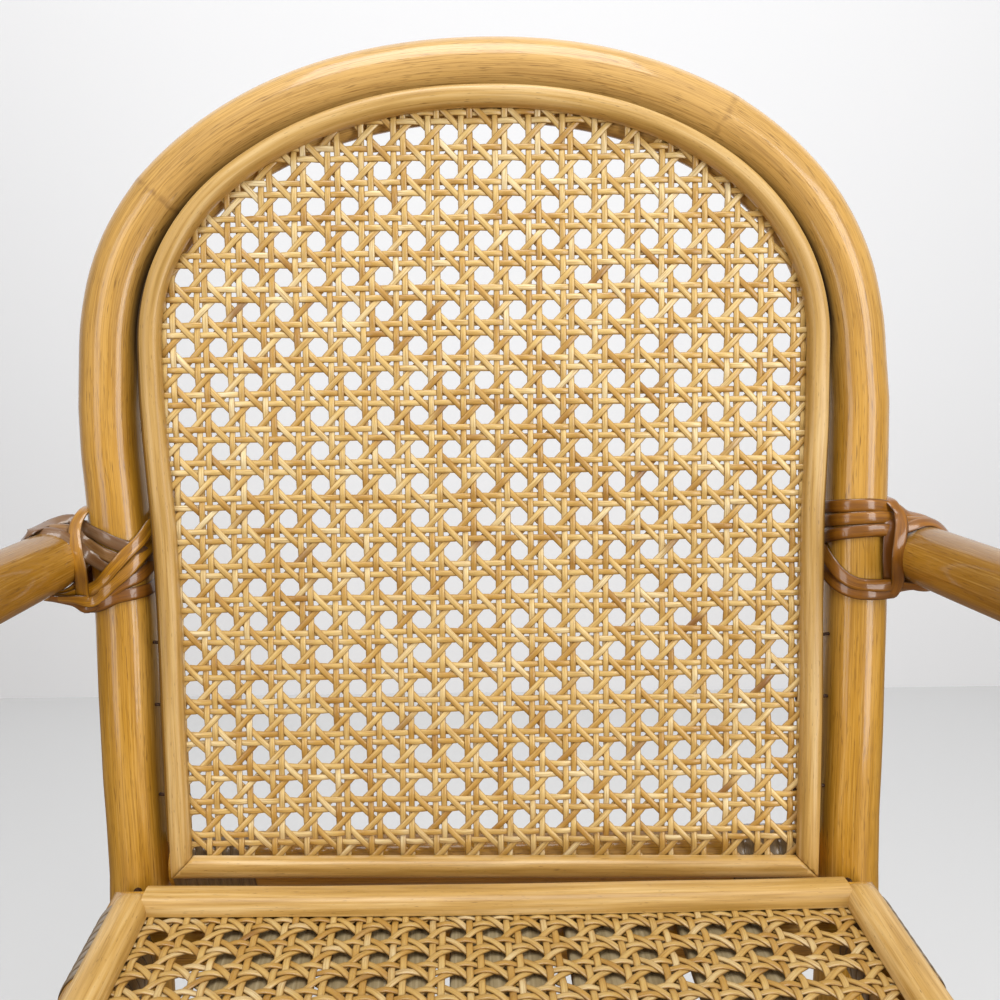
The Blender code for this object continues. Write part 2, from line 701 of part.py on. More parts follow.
def round_place(centre, axis, first, radius, angle):
    """A place on a circle about an axis, and the direction out of the circle there."""
    first = (first - axis * first.dot(axis)).normalized()
    outward = first * math.cos(angle) + axis.cross(first) * math.sin(angle)
    return centre + outward * radius, outward


def helix(centre, axis, first, radius, turns, sense=1, start_angle=0.0):
    """Places and outward directions of a strip wound about an axis."""
    places = []
    for i in range(round(turns * TURN_STEPS) + 1):
        angle = start_angle + sense * math.tau * i / TURN_STEPS
        middle = centre + axis * (PEEL_PITCH * i / TURN_STEPS)
        places.append(round_place(middle, axis, first, radius, angle))
    return places


def least_gap(rings):
    """The least distance between corners that lie more than half a turn apart on the strip."""
    least = math.inf
    for i, ring in enumerate(rings):
        for other in rings[i + TURN_STEPS // 2 + 1:]:
            for corner in ring:
                least = min(least, min((corner - place).length for place in other))
    return least


def binding(name, places, colour):
    """One unbroken strip of peel along its places, its flat side on what it binds."""
    path = [place for place, _ in places]
    ups = [outward for _, outward in places]
    section = strip_section(PEEL_WIDTH, PEEL_THICKNESS)
    gap = least_gap(swept_rings(path, section, ups))
    print(name, "least gap to itself, mm", round(gap * 1000, 2))
    finish(sweep(name, path, section, ups), colour, 0.3)


def smooth_step(t):
    return t * t * (3 - 2 * t)


def along_path(path, distance):
    """The place at a distance along a path, and the path's direction there."""
    for first, second in zip(path, path[1:]):
        step = (second - first).length
        if distance <= step:
            return first.lerp(second, distance / step), (second - first).normalized()
        distance -= step
    return path[-1], (path[-1] - path[-2]).normalized()


def clear_of_arm(place, outward, across, joint, arm):
    """Moves a place on a strip away from the arm until both edges of the strip clear it."""
    room = ARM_RADIUS * TURN_SLACK + CLEARANCE
    move = Vector((0, 0, 0))
    for edge in (-PEEL_WIDTH / 2, PEEL_WIDTH / 2):
        corner = place + across * edge - joint
        forward = corner.dot(arm)
        away = corner - arm * forward
        if forward > -ARM_REAR_REACH and away.length < room:
            push = away.normalized() * (room - away.length)
            move = push if push.length > move.length else move
    return place + move, outward


def build_arm_binding(side, sign):
    """Peel wound round the post: under the arm, twice on a slant, and above the arm."""
    joint = post_at_arm(sign)
    arm = arm_direction(sign)
    radius = POLE_RADIUS * TURN_SLACK + CLEARANCE
    pass_drop = ARM_RADIUS * TURN_SLACK + PEEL_WIDTH / 2 + 2 * PEEL_GAP
    slant = ARM_BINDING_SLANT * PEEL_PITCH
    outers = [-pass_drop - slant - PEEL_PITCH * n for n in range(ARM_BINDING_LOWER_TURNS, 0, -1)]
    inners = [outer + PEEL_PITCH / 2 for outer in outers]
    outers += [-pass_drop - slant, -pass_drop]
    inners += [pass_drop - slant, pass_drop]
    for turn in range(ARM_BINDING_UPPER_TURNS):
        outers.append(pass_drop + PEEL_PITCH * (turn + 0.5))
        inners.append(pass_drop + PEEL_PITCH * (turn + 1))
    heights = [height for pair in zip(outers, inners) for height in pair]
    half = TURN_STEPS // 2
    places = []
    for i in range((len(heights) - 1) * half + 1):
        number = min(i // half, len(heights) - 2)
        share = (1 - math.cos(math.pi * (i / half - number))) / 2
        height = heights[number] + (heights[number + 1] - heights[number]) * share
        middle = joint + BACK_UP * height
        places.append(round_place(middle, BACK_UP, ACROSS * sign, radius,
                                  sign * math.pi * i / half))
    path = [place for place, _ in places]
    moved = []
    for (place, outward), direction in zip(places, directions_along(path)):
        moved.append(clear_of_arm(place, outward, direction.cross(outward), arm_start(sign), arm))
    binding("arm_binding_" + side, moved, PEEL_COLOUR)


def build_arm_collar(side, sign):
    """Peel wound round the arm in front of the post."""
    path = arm_places(sign)
    radius = ARM_RADIUS * TURN_SLACK + CLEARANCE
    places = []
    for i in range(ARM_COLLAR_TURNS * TURN_STEPS + 1):
        run = ARM_REAR_REACH + ARM_COLLAR_STANDOFF + PEEL_PITCH * i / TURN_STEPS
        middle, direction = along_path(path, run)
        places.append(round_place(middle, direction, UP, radius, math.tau * i / TURN_STEPS))
    binding("arm_collar_" + side, places, PEEL_COLOUR)


def build_cross_binding(side, sign):
    """Peel round each end of the cross rail, inside the ring."""
    across = HOOP_HALF_WIDTH - RING_INSET - PANEL_TAPER - RING_RADIUS - CROSS_BINDING_REACH
    start = back_place(sign * across, -CROSS_RAIL_DROP)
    radius = CROSS_RAIL_RADIUS * TURN_SLACK + CLEARANCE
    places = helix(start, ACROSS * -sign, BACK_UP, radius, CROSS_BINDING_TURNS)
    binding("cross_rail_binding_" + side, places, RAIL_PEEL_COLOUR)


def build_side_binding(side, sign):
    """Peel round each side rail, between the seat cane and the post."""
    start = Vector((sign * SEAT_RAIL_HALF_WIDTH, side_rail_end() - PEEL_WIDTH, RAIL_Z))
    radius = RAIL_RADIUS * TURN_SLACK + CLEARANCE
    places = helix(start, -BACKWARD, UP, radius, SIDE_BINDING_TURNS, sign)
    binding("side_rail_binding_" + side, places, RAIL_PEEL_COLOUR)


def build_leg_binding(side, sign):
    """Peel round the front leg above and below the side rail, joined across its front."""
    radius = ARM_RADIUS * TURN_SLACK + CLEARANCE
    outward = ACROSS * sign
    lead = RAIL_RADIUS + PEEL_WIDTH
    centre = Vector((sign * FRONT_LEG_X, FRONT_LEG_Y, RAIL_Z))
    top = centre + UP * (lead + PEEL_PITCH * LEG_BINDING_TURNS)
    places = helix(top, -UP, outward, radius, LEG_BINDING_TURNS, -sign, sign * math.pi)
    half = TURN_STEPS // 2
    for i in range(1, half):
        share = i / half
        middle = centre + UP * (lead * (1 - 2 * smooth_step(share)))
        angle = sign * math.pi * (1 - share)
        places.append(round_place(middle, -UP, outward, radius, angle))
    places += helix(centre - UP * lead, -UP, outward, radius, LEG_BINDING_TURNS, -sign)
    binding("front_leg_binding_" + side, places, PEEL_COLOUR)


def fastener(name, line, shank_radius, head_radius, head_height):
    """A nail or a screw: a domed head outside its start, and a shank along its line."""
    start, direction, length = line
    mesh_data = bmesh.new()
    profile = [(0, -head_height), (head_radius / 2, -head_height), (head_radius, -head_height / 3),
               (head_radius, 0), (shank_radius, 0), (shank_radius, length - 2 * shank_radius),
               (0, length)]
    side = direction.orthogonal().normalized()
    corners = [mesh_data.verts.new(start + side * r + direction * d) for r, d in profile]
    edges = [mesh_data.edges.new(pair) for pair in zip(corners, corners[1:])]
    bmesh.ops.spin(mesh_data, geom=corners + edges, cent=start, axis=direction, dvec=(0, 0, 0),
                   angle=math.tau, steps=SCREW_SIDES, use_merge=True)
    bmesh.ops.remove_doubles(mesh_data, verts=mesh_data.verts, dist=shank_radius / 100)
    finish(mesh_object(name, mesh_data), STEEL_COLOUR, 0.4, 1.0)


def build_fasteners():
    for side, sign in SIDES:
        for number, share in enumerate(NAIL_SHARES, 1):
            fastener("ring_nail_" + side + "_" + str(number), nail_line(sign, share),
                     NAIL_RADIUS, NAIL_HEAD_RADIUS, NAIL_HEAD_HEIGHT)
        for kind, line in (("arm", arm_screw_line), ("cross_rail", cross_screw_line),
                           ("side_rail", rail_screw_line), ("front_leg", leg_screw_line)):
            fastener(kind + "_screw_" + side, line(sign), SCREW_RADIUS, SCREW_HEAD_RADIUS,
                     SCREW_HEAD_HEIGHT)


def main():
    clear_scene()
    build_hoop()
    build_cross_rail()
    build_ring()
    build_back_cane()
    build_panel_beads()
    build_seat_rails()
    build_seat_cane()
    build_seat_beads()
    build_slats()
    build_stretchers()
    for side, sign in SIDES:
        build_arm(side, sign)
        build_arm_binding(side, sign)
        build_arm_collar(side, sign)
        build_cross_binding(side, sign)
        build_side_binding(side, sign)
        build_leg_binding(side, sign)
    build_fasteners()


main()
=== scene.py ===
"""The finished look of a child's rattan armchair with a cane back and seat, on its solids.

Metres, +Z up. The sitter faces -Y. The origin is on the floor, under the middle of the chair.
"""
import math

import bpy
import numpy as np
from mathutils import Matrix, Vector
from mathutils.kdtree import KDTree


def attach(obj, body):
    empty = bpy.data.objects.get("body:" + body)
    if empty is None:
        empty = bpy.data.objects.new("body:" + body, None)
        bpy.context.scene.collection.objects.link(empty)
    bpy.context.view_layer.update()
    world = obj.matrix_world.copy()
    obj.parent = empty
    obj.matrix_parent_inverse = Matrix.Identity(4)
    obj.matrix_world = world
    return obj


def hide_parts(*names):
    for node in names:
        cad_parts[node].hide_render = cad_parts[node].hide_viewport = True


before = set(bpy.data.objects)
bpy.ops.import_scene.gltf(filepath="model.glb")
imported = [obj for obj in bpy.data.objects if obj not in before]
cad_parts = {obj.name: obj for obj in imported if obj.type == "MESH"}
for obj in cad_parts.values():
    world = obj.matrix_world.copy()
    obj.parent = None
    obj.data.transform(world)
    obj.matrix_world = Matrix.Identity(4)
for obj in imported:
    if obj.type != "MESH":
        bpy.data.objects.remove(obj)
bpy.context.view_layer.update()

# Driving sizes of the chair, as its solids have them
SEAT_HEIGHT = 0.302
SEAT_RAIL_HALF_WIDTH = 0.1335
HOOP_HALF_WIDTH = 0.144
HOOP_SPRING = 0.195
HOOP_APEX = 0.3004
HOOP_Y = 0.12865
BACK_RECLINE = math.radians(9.0)
ARCH_POWER = 2.10
HOOP_FOOT = -0.028
POLE_RADIUS = 0.012
RAIL_RADIUS = 0.012
RAIL_Z = 0.2881
FRONT_RAIL_Y = -0.17565
REAR_RAIL_Y = 0.08635
FRONT_LEG_X = 0.1572
FRONT_LEG_Y = -0.16965
ARM_HEIGHT = 0.1121
ARM_LIFT = {-1: 0.0013, 1: -0.0008}
ARM_RADIUS = 0.0114
ARM_OUTSET = 0.0237
LASHING_HEIGHT = 0.1116
ARM_REAR_REACH = 0.008
ARM_RISE = 0.015
KNEE_X = 0.1712
KNEE_SETBACK = 0.052
KNEE_DROP = 0.088
CROSS_RAIL_ALONG = -0.0085
CROSS_RAIL_RADIUS = 0.0105
CROSS_RAIL_ENDS = {-1: -0.1272, 1: 0.1280}
# Legs are made this much too long and then cut level with the floor
BELOW_FLOOR = 0.006

# The panel in the back: how far in front of the hoop's middle its layers lie
RING_RADIUS = 0.005
RING_INSET = 0.01678
RING_FRONTING = 0.007
RING_FOOT = 0.0025
RING_TAPER = 0.0034
CANE_FRONTING = 0.0131
BEAD_FRONTING = 0.0142
PANEL_TAPER = 0.0038
BEAD_WIDTH = 0.0082
BEAD_HEIGHT = 0.0050
BEAD_FOOT = -0.0050
# The bead's middle line is this much narrower than the ring's, and higher
BEAD_SHIFT = 0.0024
MITRE_GAP = 0.0001

# How far the bent poles and the bead stray sideways from an even arch, in mm to the right, at
# heights in mm along the back: the left post bows out above the arm and leans in at its foot
HOOP_SWAY = {-1: ((-28, 2.8), (-12, 3.1), (10, 2.3), (26, 1.5), (60, 0.9), (90, 0.7),
                  (118, -0.4), (140, -1.8), (155, -3.0), (172, -3.4), (190, -2.6), (210, -1.8),
                  (235, -1.9), (260, -1.4), (300, 0)),
             1: ((-28, -1.3), (-12, -1.6), (10, -1.5), (26, -0.8), (45, -0.2), (60, 0.0),
                 (90, 0.6), (130, 0.4), (155, 0.8), (172, 0.9), (190, -0.6), (210, -1.9),
                 (235, -1.9), (260, -1.4), (300, 0))}
BEAD_SWAY = {-1: ((-12, 0.7), (50, 0.4), (90, 0.7), (125, 0.2), (145, -1.0), (160, -1.8),
                  (175, -2.4), (220, -2.5), (250, -2.2), (290, 0)),
             1: ((-12, 0.5), (50, 0.3), (90, -0.8), (130, -1.2), (160, -0.4), (235, -0.8),
                 (290, 0))}
BEAD_TILT = 0.0030

# Seat
SEAT_BEAD_WIDTH = 0.0130
SEAT_BEAD_HEIGHT = 0.0062
SEAT_BEAD_INSET = 0.0035
SEAT_BEAD_Z = 0.3023
SEAT_CANE_Z = 0.3013
SEAT_SAG = 0.0015
REAR_BEAD_BOW = 0.0016
SIDE_RAIL_END = 0.1120
SIDE_RAIL_CUT_Y = 0.0955
SIDE_RAIL_CUT_AIM = (0, 0.533, 0.846)
CROSSWISE_RAIL_REACH = 0.1265
SIDE_BEAD_OVERHANG = (0.0125, 0.0042)
SIDE_BEAD_NARROWING = (0.004, 0.009)
SLAT_WIDTH = 0.034
SLAT_PITCH = 0.040
SLAT_TOP = 0.2984
SLAT_THICKNESS = 0.0045
SLAT_END_GAP = 0.0065

# Stretchers
STRETCHER_RADIUS = 0.008
STRETCHER_SINK = 0.009
STRETCHER_HEIGHT = 0.100
SIDE_STRETCHER_HEIGHT = 0.130
REAR_LEG_RAKE = math.radians(6.0)
LEG_BEND_DROP = 0.030
LEG_BEND_RADIUS = 0.250

# Cane weave: two uprights, two level strands and two slanting ones to each hole
STRAND_WIDTH = 0.00232
STRAND_THICKNESS = 0.00074
STRAND_RISE = 0.00060
SLANT_RISE = 0.00058
PAIR_OFFSET = 0.362
BACK_PITCH = (0.01253, 0.01305)
BACK_HOLE = (-0.00166, 0.2725)
SEAT_PITCH = (0.01279, 0.01222)
SEAT_HOLE = (-0.00195, 0.06673)
STRAND_STEPS = 8

# Peel, and how far each wrapping reaches along its pole
PEEL_WIDTH = 0.0050
PEEL_THICKNESS = 0.0007
CROSS_WRAP_STARTS = {-1: -0.1245, 1: 0.1252}
CROSS_WRAP_END = 0.093
SIDE_WRAP = (0.0905, 0.048)
LEG_WRAPS = ((0.2605, 0.2715), (0.3045, 0.3155))

# The cross rail's screws
SCREW_RADIUS = 0.0012
SCREW_LENGTH = 0.028
SCREW_MIDDLE = 0.130

BACK_UP = Vector((0, math.sin(BACK_RECLINE), math.cos(BACK_RECLINE)))
BACK_FRONT = Vector((0, -math.cos(BACK_RECLINE), math.sin(BACK_RECLINE)))
UP = Vector((0, 0, 1))
SIDES = (("left", -1), ("right", 1))


def on_back(across, along, fronting=0.0):
    """A place on the back: across it, along it from seat height, and in front of the hoop."""
    return Vector((across, HOOP_Y, SEAT_HEIGHT)) + BACK_UP * along + BACK_FRONT * fronting


def on_cross_rail(across):
    """A place on the cross rail's middle line."""
    return on_back(across, CROSS_RAIL_ALONG)


def front_leg_at(sign, height):
    """The middle of a front leg at a height above the floor."""
    return Vector((sign * FRONT_LEG_X, FRONT_LEG_Y, height))


def lengths_along(path):
    """How far along a path each of its points is."""
    return np.append(0, np.cumsum(np.linalg.norm(np.diff(path, axis=0), axis=1)))


def unit(vectors):
    """The same aims, each with a length of one."""
    return vectors / np.linalg.norm(vectors, axis=1)[:, None]


def evenly(path, spacing):
    """The same path with its points an even distance apart."""
    places = np.array([tuple(place) for place in path])
    runs = lengths_along(places)
    count = max(2, round(runs[-1] / spacing) + 1)
    return np.stack([np.interp(np.linspace(0, runs[-1], count), runs, places[:, i])
                     for i in range(places.shape[1])], axis=1)


def arch(half_width, apex, foot, taper=0.0):
    """An arched outline, across and along, from its left foot over the apex to the right one."""
    rise = apex - HOOP_SPRING
    half = []
    for i in range(61):
        angle = math.pi / 2 * (1 - i / 60)
        half.append((half_width * max(math.cos(angle), 0.0) ** (2 / ARCH_POWER),
                     HOOP_SPRING + rise * math.sin(angle) ** (2 / ARCH_POWER)))
    half[0] = (0.0, apex)
    half.append((half_width - taper, foot))
    return [(-across, along) for across, along in reversed(half)] + half[1:]


def swayed(line, sways):
    """The same outline, strayed sideways as the real one does."""
    out = []
    for across, along in evenly(line, 0.004):
        heights, shifts = zip(*sways[1 if across > 0 else -1])
        out.append((across + float(np.interp(along * 1000, heights, shifts)) / 1000, along))
    return out


def bezier(start, start_handle, end_handle, end, steps=40):
    """Places along a smooth bend between two ends, aimed by its two handles."""
    places = []
    for i in range(steps + 1):
        t = i / steps
        places.append(start * (1 - t) ** 3 + start_handle * (3 * t * (1 - t) ** 2)
                      + end_handle * (3 * t * t * (1 - t)) + end * t ** 3)
    return places


def rear_leg(sign):
    """The centre line of a post below the seat: a gentle bend, then straight to the floor."""
    x = sign * HOOP_HALF_WIDTH
    centre = on_back(x, -LEG_BEND_DROP) - BACK_FRONT * LEG_BEND_RADIUS
    places = []
    for i in range(13):
        angle = BACK_RECLINE - (BACK_RECLINE + REAR_LEG_RAKE) * i / 12
        outward = Vector((0, -math.cos(angle), math.sin(angle)))
        places.append(centre + outward * LEG_BEND_RADIUS)
    fall = places[-1].z
    places.append(Vector((x, places[-1].y + fall * math.tan(REAR_LEG_RAKE), 0)))
    return places


def rear_leg_at(sign, height):
    """The middle of a rear leg at a height above the floor."""
    top, foot = rear_leg(sign)[-2:]
    return foot.lerp(top, height / top.z)


def arm_start(sign):
    """Where the arm's centre line passes the post, on its outer side: a little uneven."""
    middle = on_back(sign * HOOP_HALF_WIDTH, ARM_HEIGHT / math.cos(BACK_RECLINE))
    return middle + Vector((sign * ARM_OUTSET, 0, ARM_LIFT[sign]))


def arm_aim(sign):
    """Forward along the arm: a little outwards, and rising."""
    splay, rise = math.radians(1.2), math.radians(4.3)
    return Vector((sign * math.sin(splay) * math.cos(rise), -math.cos(splay) * math.cos(rise),
                   math.sin(rise)))


def arm_line(sign):
    """The centre line of an arm, from its post forward and down the front leg to the floor."""
    aim = arm_aim(sign)
    start = arm_start(sign) - aim * ARM_REAR_REACH
    turn_in = Vector((-sign * math.sin(math.radians(5)), -math.cos(math.radians(5)), 0))
    height = SEAT_HEIGHT + ARM_HEIGHT + ARM_RISE
    knee = Vector((sign * KNEE_X, FRONT_LEG_Y + KNEE_SETBACK, height))
    leg_top = front_leg_at(sign, height - KNEE_DROP)
    # The longer its handles, the slower the pole bends
    level = bezier(start, start + aim * 0.110, knee - turn_in * 0.080, knee)
    bend = bezier(knee, knee + turn_in * 0.036, leg_top + UP * 0.046, leg_top)
    return level + bend[1:] + [front_leg_at(sign, 0)]


# ---------------------------------------------------------------- making pieces

def deselect():
    """Leaves edit mode and deselects everything, before each new piece."""
    if bpy.context.object and bpy.context.object.mode != "OBJECT":
        bpy.ops.object.mode_set(mode="OBJECT")
    bpy.ops.object.select_all(action="DESELECT")


def made(name, make, **settings):
    """A new object from one of bpy's operators, made with nothing else selected, and named."""
    deselect()
    make(**settings)
    bpy.context.object.name = name
    return bpy.context.object


def only(piece):
    """Selects one piece alone and makes it the active one."""
    deselect()
    piece.select_set(True)
    bpy.context.view_layer.objects.active = piece


def edit(piece, work, **settings):
    """Runs one of bpy's operators on the whole of a piece in edit mode."""
    only(piece)
    bpy.ops.object.mode_set(mode="EDIT")
    bpy.ops.mesh.select_all(action="SELECT")
    work(**settings)
    bpy.ops.object.mode_set(mode="OBJECT")


def smooth(piece, angle=40):
    """Shades a piece smooth, but for edges sharper than an angle in degrees."""
    only(piece)
    bpy.ops.object.shade_smooth_by_angle(angle=math.radians(angle))


def note(data, name, values):
    """Keeps a number or a vector for each point of a mesh, for its finish to read."""
    kind, field = ("FLOAT_VECTOR", "vector") if values.ndim == 2 else ("FLOAT", "value")
    layer = data.attributes.new(name, kind, "POINT")
    layer.data.foreach_set(field, values.ravel())


def point_tree(path):
    """Finds the point of a path that is nearest to a place."""
    tree = KDTree(len(path))
    for i, place in enumerate(path):
        tree.insert(place, i)
    tree.balance()
    return tree


def mark_grain(piece, path, rings=()):
    """Notes each point's place across and along its pole, and its distance to a growth ring."""
    path = np.asarray(path, float)
    aims = unit(np.gradient(path, axis=0))
    runs = lengths_along(path)
    side = Vector(aims[0]).orthogonal().normalized()
    firsts = []
    for aim in aims:
        side = (side - Vector(aim) * side.dot(Vector(aim))).normalized()
        firsts.append(tuple(side))
    firsts = np.array(firsts)
    seconds = np.cross(aims, firsts)
    tree = point_tree(path)
    places = np.zeros(len(piece.data.vertices) * 3)
    piece.data.vertices.foreach_get("co", places)
    places = places.reshape(-1, 3)
    nearest = np.array([tree.find(place)[1] for place in places])
    offset = places - path[nearest]
    along = runs[nearest] + (offset * aims[nearest]).sum(axis=1)
    note(piece.data, "grain", np.stack([(offset * firsts[nearest]).sum(axis=1),
                                        (offset * seconds[nearest]).sum(axis=1), along], axis=1))
    no_ring_near = 0.05
    distance = np.full(len(places), no_ring_near)
    for ring in rings:
        gap = along - ring
        distance = np.where(np.abs(gap) < np.abs(distance), gap, distance)
    note(piece.data, "ring", distance)


def mark_painted_gap_shade(piece, path, radius, reach):
    """Notes for each point how deep it lies in the narrow gap to another pole, for the painted
    shade there.
    """
    tree = point_tree(path)
    # It is at its deepest well before the poles touch
    near = [(reach - (tree.find(vertex.co)[2] - radius)) / reach * 1.6
            for vertex in piece.data.vertices]
    note(piece.data, "painted_gap_shade", np.clip(near, 0, 1))


def runs_at(path, *places):
    """How far along a path its nearest points to some places are."""
    points = evenly(path, 0.001)
    runs = lengths_along(points)
    return tuple(runs[np.argmin(np.linalg.norm(points - np.array(place), axis=1))]
                 for place in places)


def uneven(runs, phase, *waves):
    """Widths along a grown pole, as shares of its size: two waves, each a share and a length."""
    (first, first_length), (second, second_length) = waves
    return (1 + first * np.sin(runs / first_length + phase)
            + second * np.sin(runs / second_length))


def curve_line(name, points, widths):
    """A curve object with one open line through the points, of the given relative widths."""
    curve = made(name, bpy.ops.curve.primitive_nurbs_path_add)
    curve.data.splines.clear()
    line = curve.data.splines.new("POLY")
    line.points.add(len(points) - 1)
    line.points.foreach_set("co", np.insert(points, 3, 1.0, axis=1).ravel())
    line.points.foreach_set("radius", widths)
    curve.data.use_fill_caps = True
    return curve


def meshed(curve):
    """A curve turned into a mesh without doubled points, every face of it turned outwards."""
    only(curve)
    bpy.ops.object.convert(target="MESH")
    piece = bpy.context.object
    edit(piece, bpy.ops.mesh.remove_doubles, threshold=0.00002)
    edit(piece, bpy.ops.mesh.normals_make_consistent, inside=False)
    return piece


def pole(name, path, radius, rings=(), bevel=14, eased=True):
    """A round pole along a path, thicker at its growth rings and eased at its cut ends."""
    path = evenly(path, 0.0025)
    points = path.copy()
    runs = lengths_along(points)
    widths = uneven(runs, len(name), (0.008, 0.047), (0.006, 0.019))
    for ring in rings:
        gap = runs - ring
        widths += 0.014 * np.exp(-(gap / 0.0028) ** 2) + 0.014 * np.exp(-(gap / 0.012) ** 2)
    if eased:
        widths[0] *= 0.93
        widths[-1] *= 0.93
        points[1] = points[0] + (points[1] - points[0]) * 0.4
        points[-2] = points[-1] + (points[-2] - points[-1]) * 0.4
    curve = curve_line(name, points, widths)
    curve.data.dimensions = "3D"
    curve.data.twist_mode = "MINIMUM"
    curve.data.bevel_depth = radius
    curve.data.bevel_resolution = bevel
    piece = meshed(curve)
    mark_grain(piece, path, rings)
    smooth(piece)
    return piece


def slice_off(piece, place, normal, reach=1.0):
    """Cuts a piece off at a plane, only within reach of the place, and closes the cut."""
    only(piece)
    bpy.ops.object.mode_set(mode="EDIT")
    bpy.ops.mesh.select_all(action="DESELECT")
    bpy.ops.object.mode_set(mode="OBJECT")
    place = Vector(place)
    for vertex in piece.data.vertices:
        vertex.select = (vertex.co - place).length < reach
    for edge in piece.data.edges:
        edge.select = all(piece.data.vertices[i].select for i in edge.vertices)
    for face in piece.data.polygons:
        face.select = all(piece.data.vertices[i].select for i in face.vertices)
    bpy.ops.object.mode_set(mode="EDIT")
    bpy.ops.mesh.bisect(plane_co=place, plane_no=normal, use_fill=True, clear_outer=True)
    bpy.ops.object.mode_set(mode="OBJECT")


def half_round(name, path, width, height, place, ends=(0, 0)):
    """A half-round bead along a flat path, turned into its plane by the place matrix.

    Each end can narrow over a length of its own.
    """
    points = evenly([(x, y, 0) for x, y in path], 0.0022)
    runs = lengths_along(points)
    widths = uneven(runs, len(name), (0.012, 0.031), (0.009, 0.0127))
    for reach, distance in ((ends[0], runs), (ends[1], runs[-1] - runs)):
        if reach:
            share = np.clip(distance / reach, 0, 1)
            widths *= np.sqrt(np.clip(1 - (1 - share) ** 2, 0.06, 1))
    # Fuller than a half ellipse, with a flat back
    profile = []
    for i in range(17):
        angle = math.pi * i / 16
        profile.append((width / 2 * math.copysign(abs(math.cos(angle)) ** (1 / 1.6),
                                                  math.cos(angle)),
                        height * math.sin(angle) ** (1 / 1.15), 0))
    profile += [(side * width / 2 * 0.96, -0.0001, 0) for side in (-1, 1)]
    section = curve_line(name + "_section", np.array(profile), np.ones(len(profile)))
    section.data.splines[0].use_cyclic_u = True
    section.data.dimensions = "2D"
    curve = curve_line(name, points, widths)
    curve.data.dimensions = "2D"
    curve.data.fill_mode = "NONE"
    curve.data.bevel_mode = "OBJECT"
    curve.data.bevel_object = section
    piece = meshed(curve)
    bpy.data.objects.remove(section)
    mark_grain(piece, points)
    piece.data.transform(place)
    smooth(piece, 50)
    return piece


def mesh_piece(name, places, faces, notes):
    """A piece from its points, faces and notes, for woven strands that no primitive gives."""
    data = bpy.data.meshes.new(name)
    data.from_pydata(places.tolist(), [], faces)
    for label, values in notes.items():
        note(data, label, values)
    data.polygons.foreach_set("use_smooth", np.ones(len(data.polygons), bool))
    piece = bpy.data.objects.new(name, data)
    bpy.context.scene.collection.objects.link(piece)
    return piece


def strands(name, lines, section, label, values):
    """Flat strands in one piece, with a value noted for each of their points.

    Each line holds its middles, its across and its outward aims. Each strand's grain starts
    elsewhere, so that no two look the same.
    """
    section = np.array(section)
    sides = len(section)
    all_places, all_faces, all_grain, start = [], [], [], 0
    for seed, (middle, across, outward) in enumerate(lines):
        count = len(middle)
        ring = (middle[:, None] + across[:, None] * section[None, :, :1]
                + outward[:, None] * section[None, :, 1:])
        all_places.append(ring.reshape(-1, 3))
        grain = np.zeros((count, sides, 3))
        grain[:, :, 0] = section[:, 0]
        grain[:, :, 1] = seed * 0.0173
        grain[:, :, 2] = lengths_along(middle)[:, None] + seed * 0.0711
        all_grain.append(grain.reshape(-1, 3))
        for i in range(count - 1):
            low = start + i * sides
            for j in range(sides):
                k = (j + 1) % sides
                all_faces.append((low + j, low + k, low + sides + k, low + sides + j))
        all_faces.append(tuple(range(start + sides - 1, start - 1, -1)))
        last = start + (count - 1) * sides
        all_faces.append(tuple(range(last, last + sides)))
        start += count * sides
    return mesh_piece(name, np.concatenate(all_places), all_faces,
                      {"grain": np.concatenate(all_grain),
                       label: np.repeat(np.concatenate(values), sides)})


# ---------------------------------------------------------------- cane

def strand_section(width):
    """A cane strand: flat behind, its front flat too but for eased edges."""
    return [(width / 2 * across, STRAND_THICKNESS * out) for across, out in
            ((-0.86, -0.5), (0.86, -0.5), (1, 0.02), (0.8, 0.36), (0, 0.5), (-0.8, 0.36),
             (-1, 0.02))]


def clip_run(places, inside):
    """The one unbroken run of the places that lies inside, if it is long enough to hold."""
    kept = np.nonzero(inside(places))[0]
    if len(kept) < 4:
        return None
    return places[kept[0]:kept[-1] + 1]


def stain_along(count, wobble):
    """How strongly a strand of so many steps is stained: in none, one or a few brown patches."""
    stain = np.zeros(count)
    for _ in range(max(1, count // (STRAND_STEPS * 7))):
        if wobble.random() < 0.6:
            gap = np.arange(count) - wobble.integers(0, count)
            stain = np.maximum(stain, wobble.uniform(0.3, 1) * np.exp(-(gap / 2.6) ** 4))
    return stain


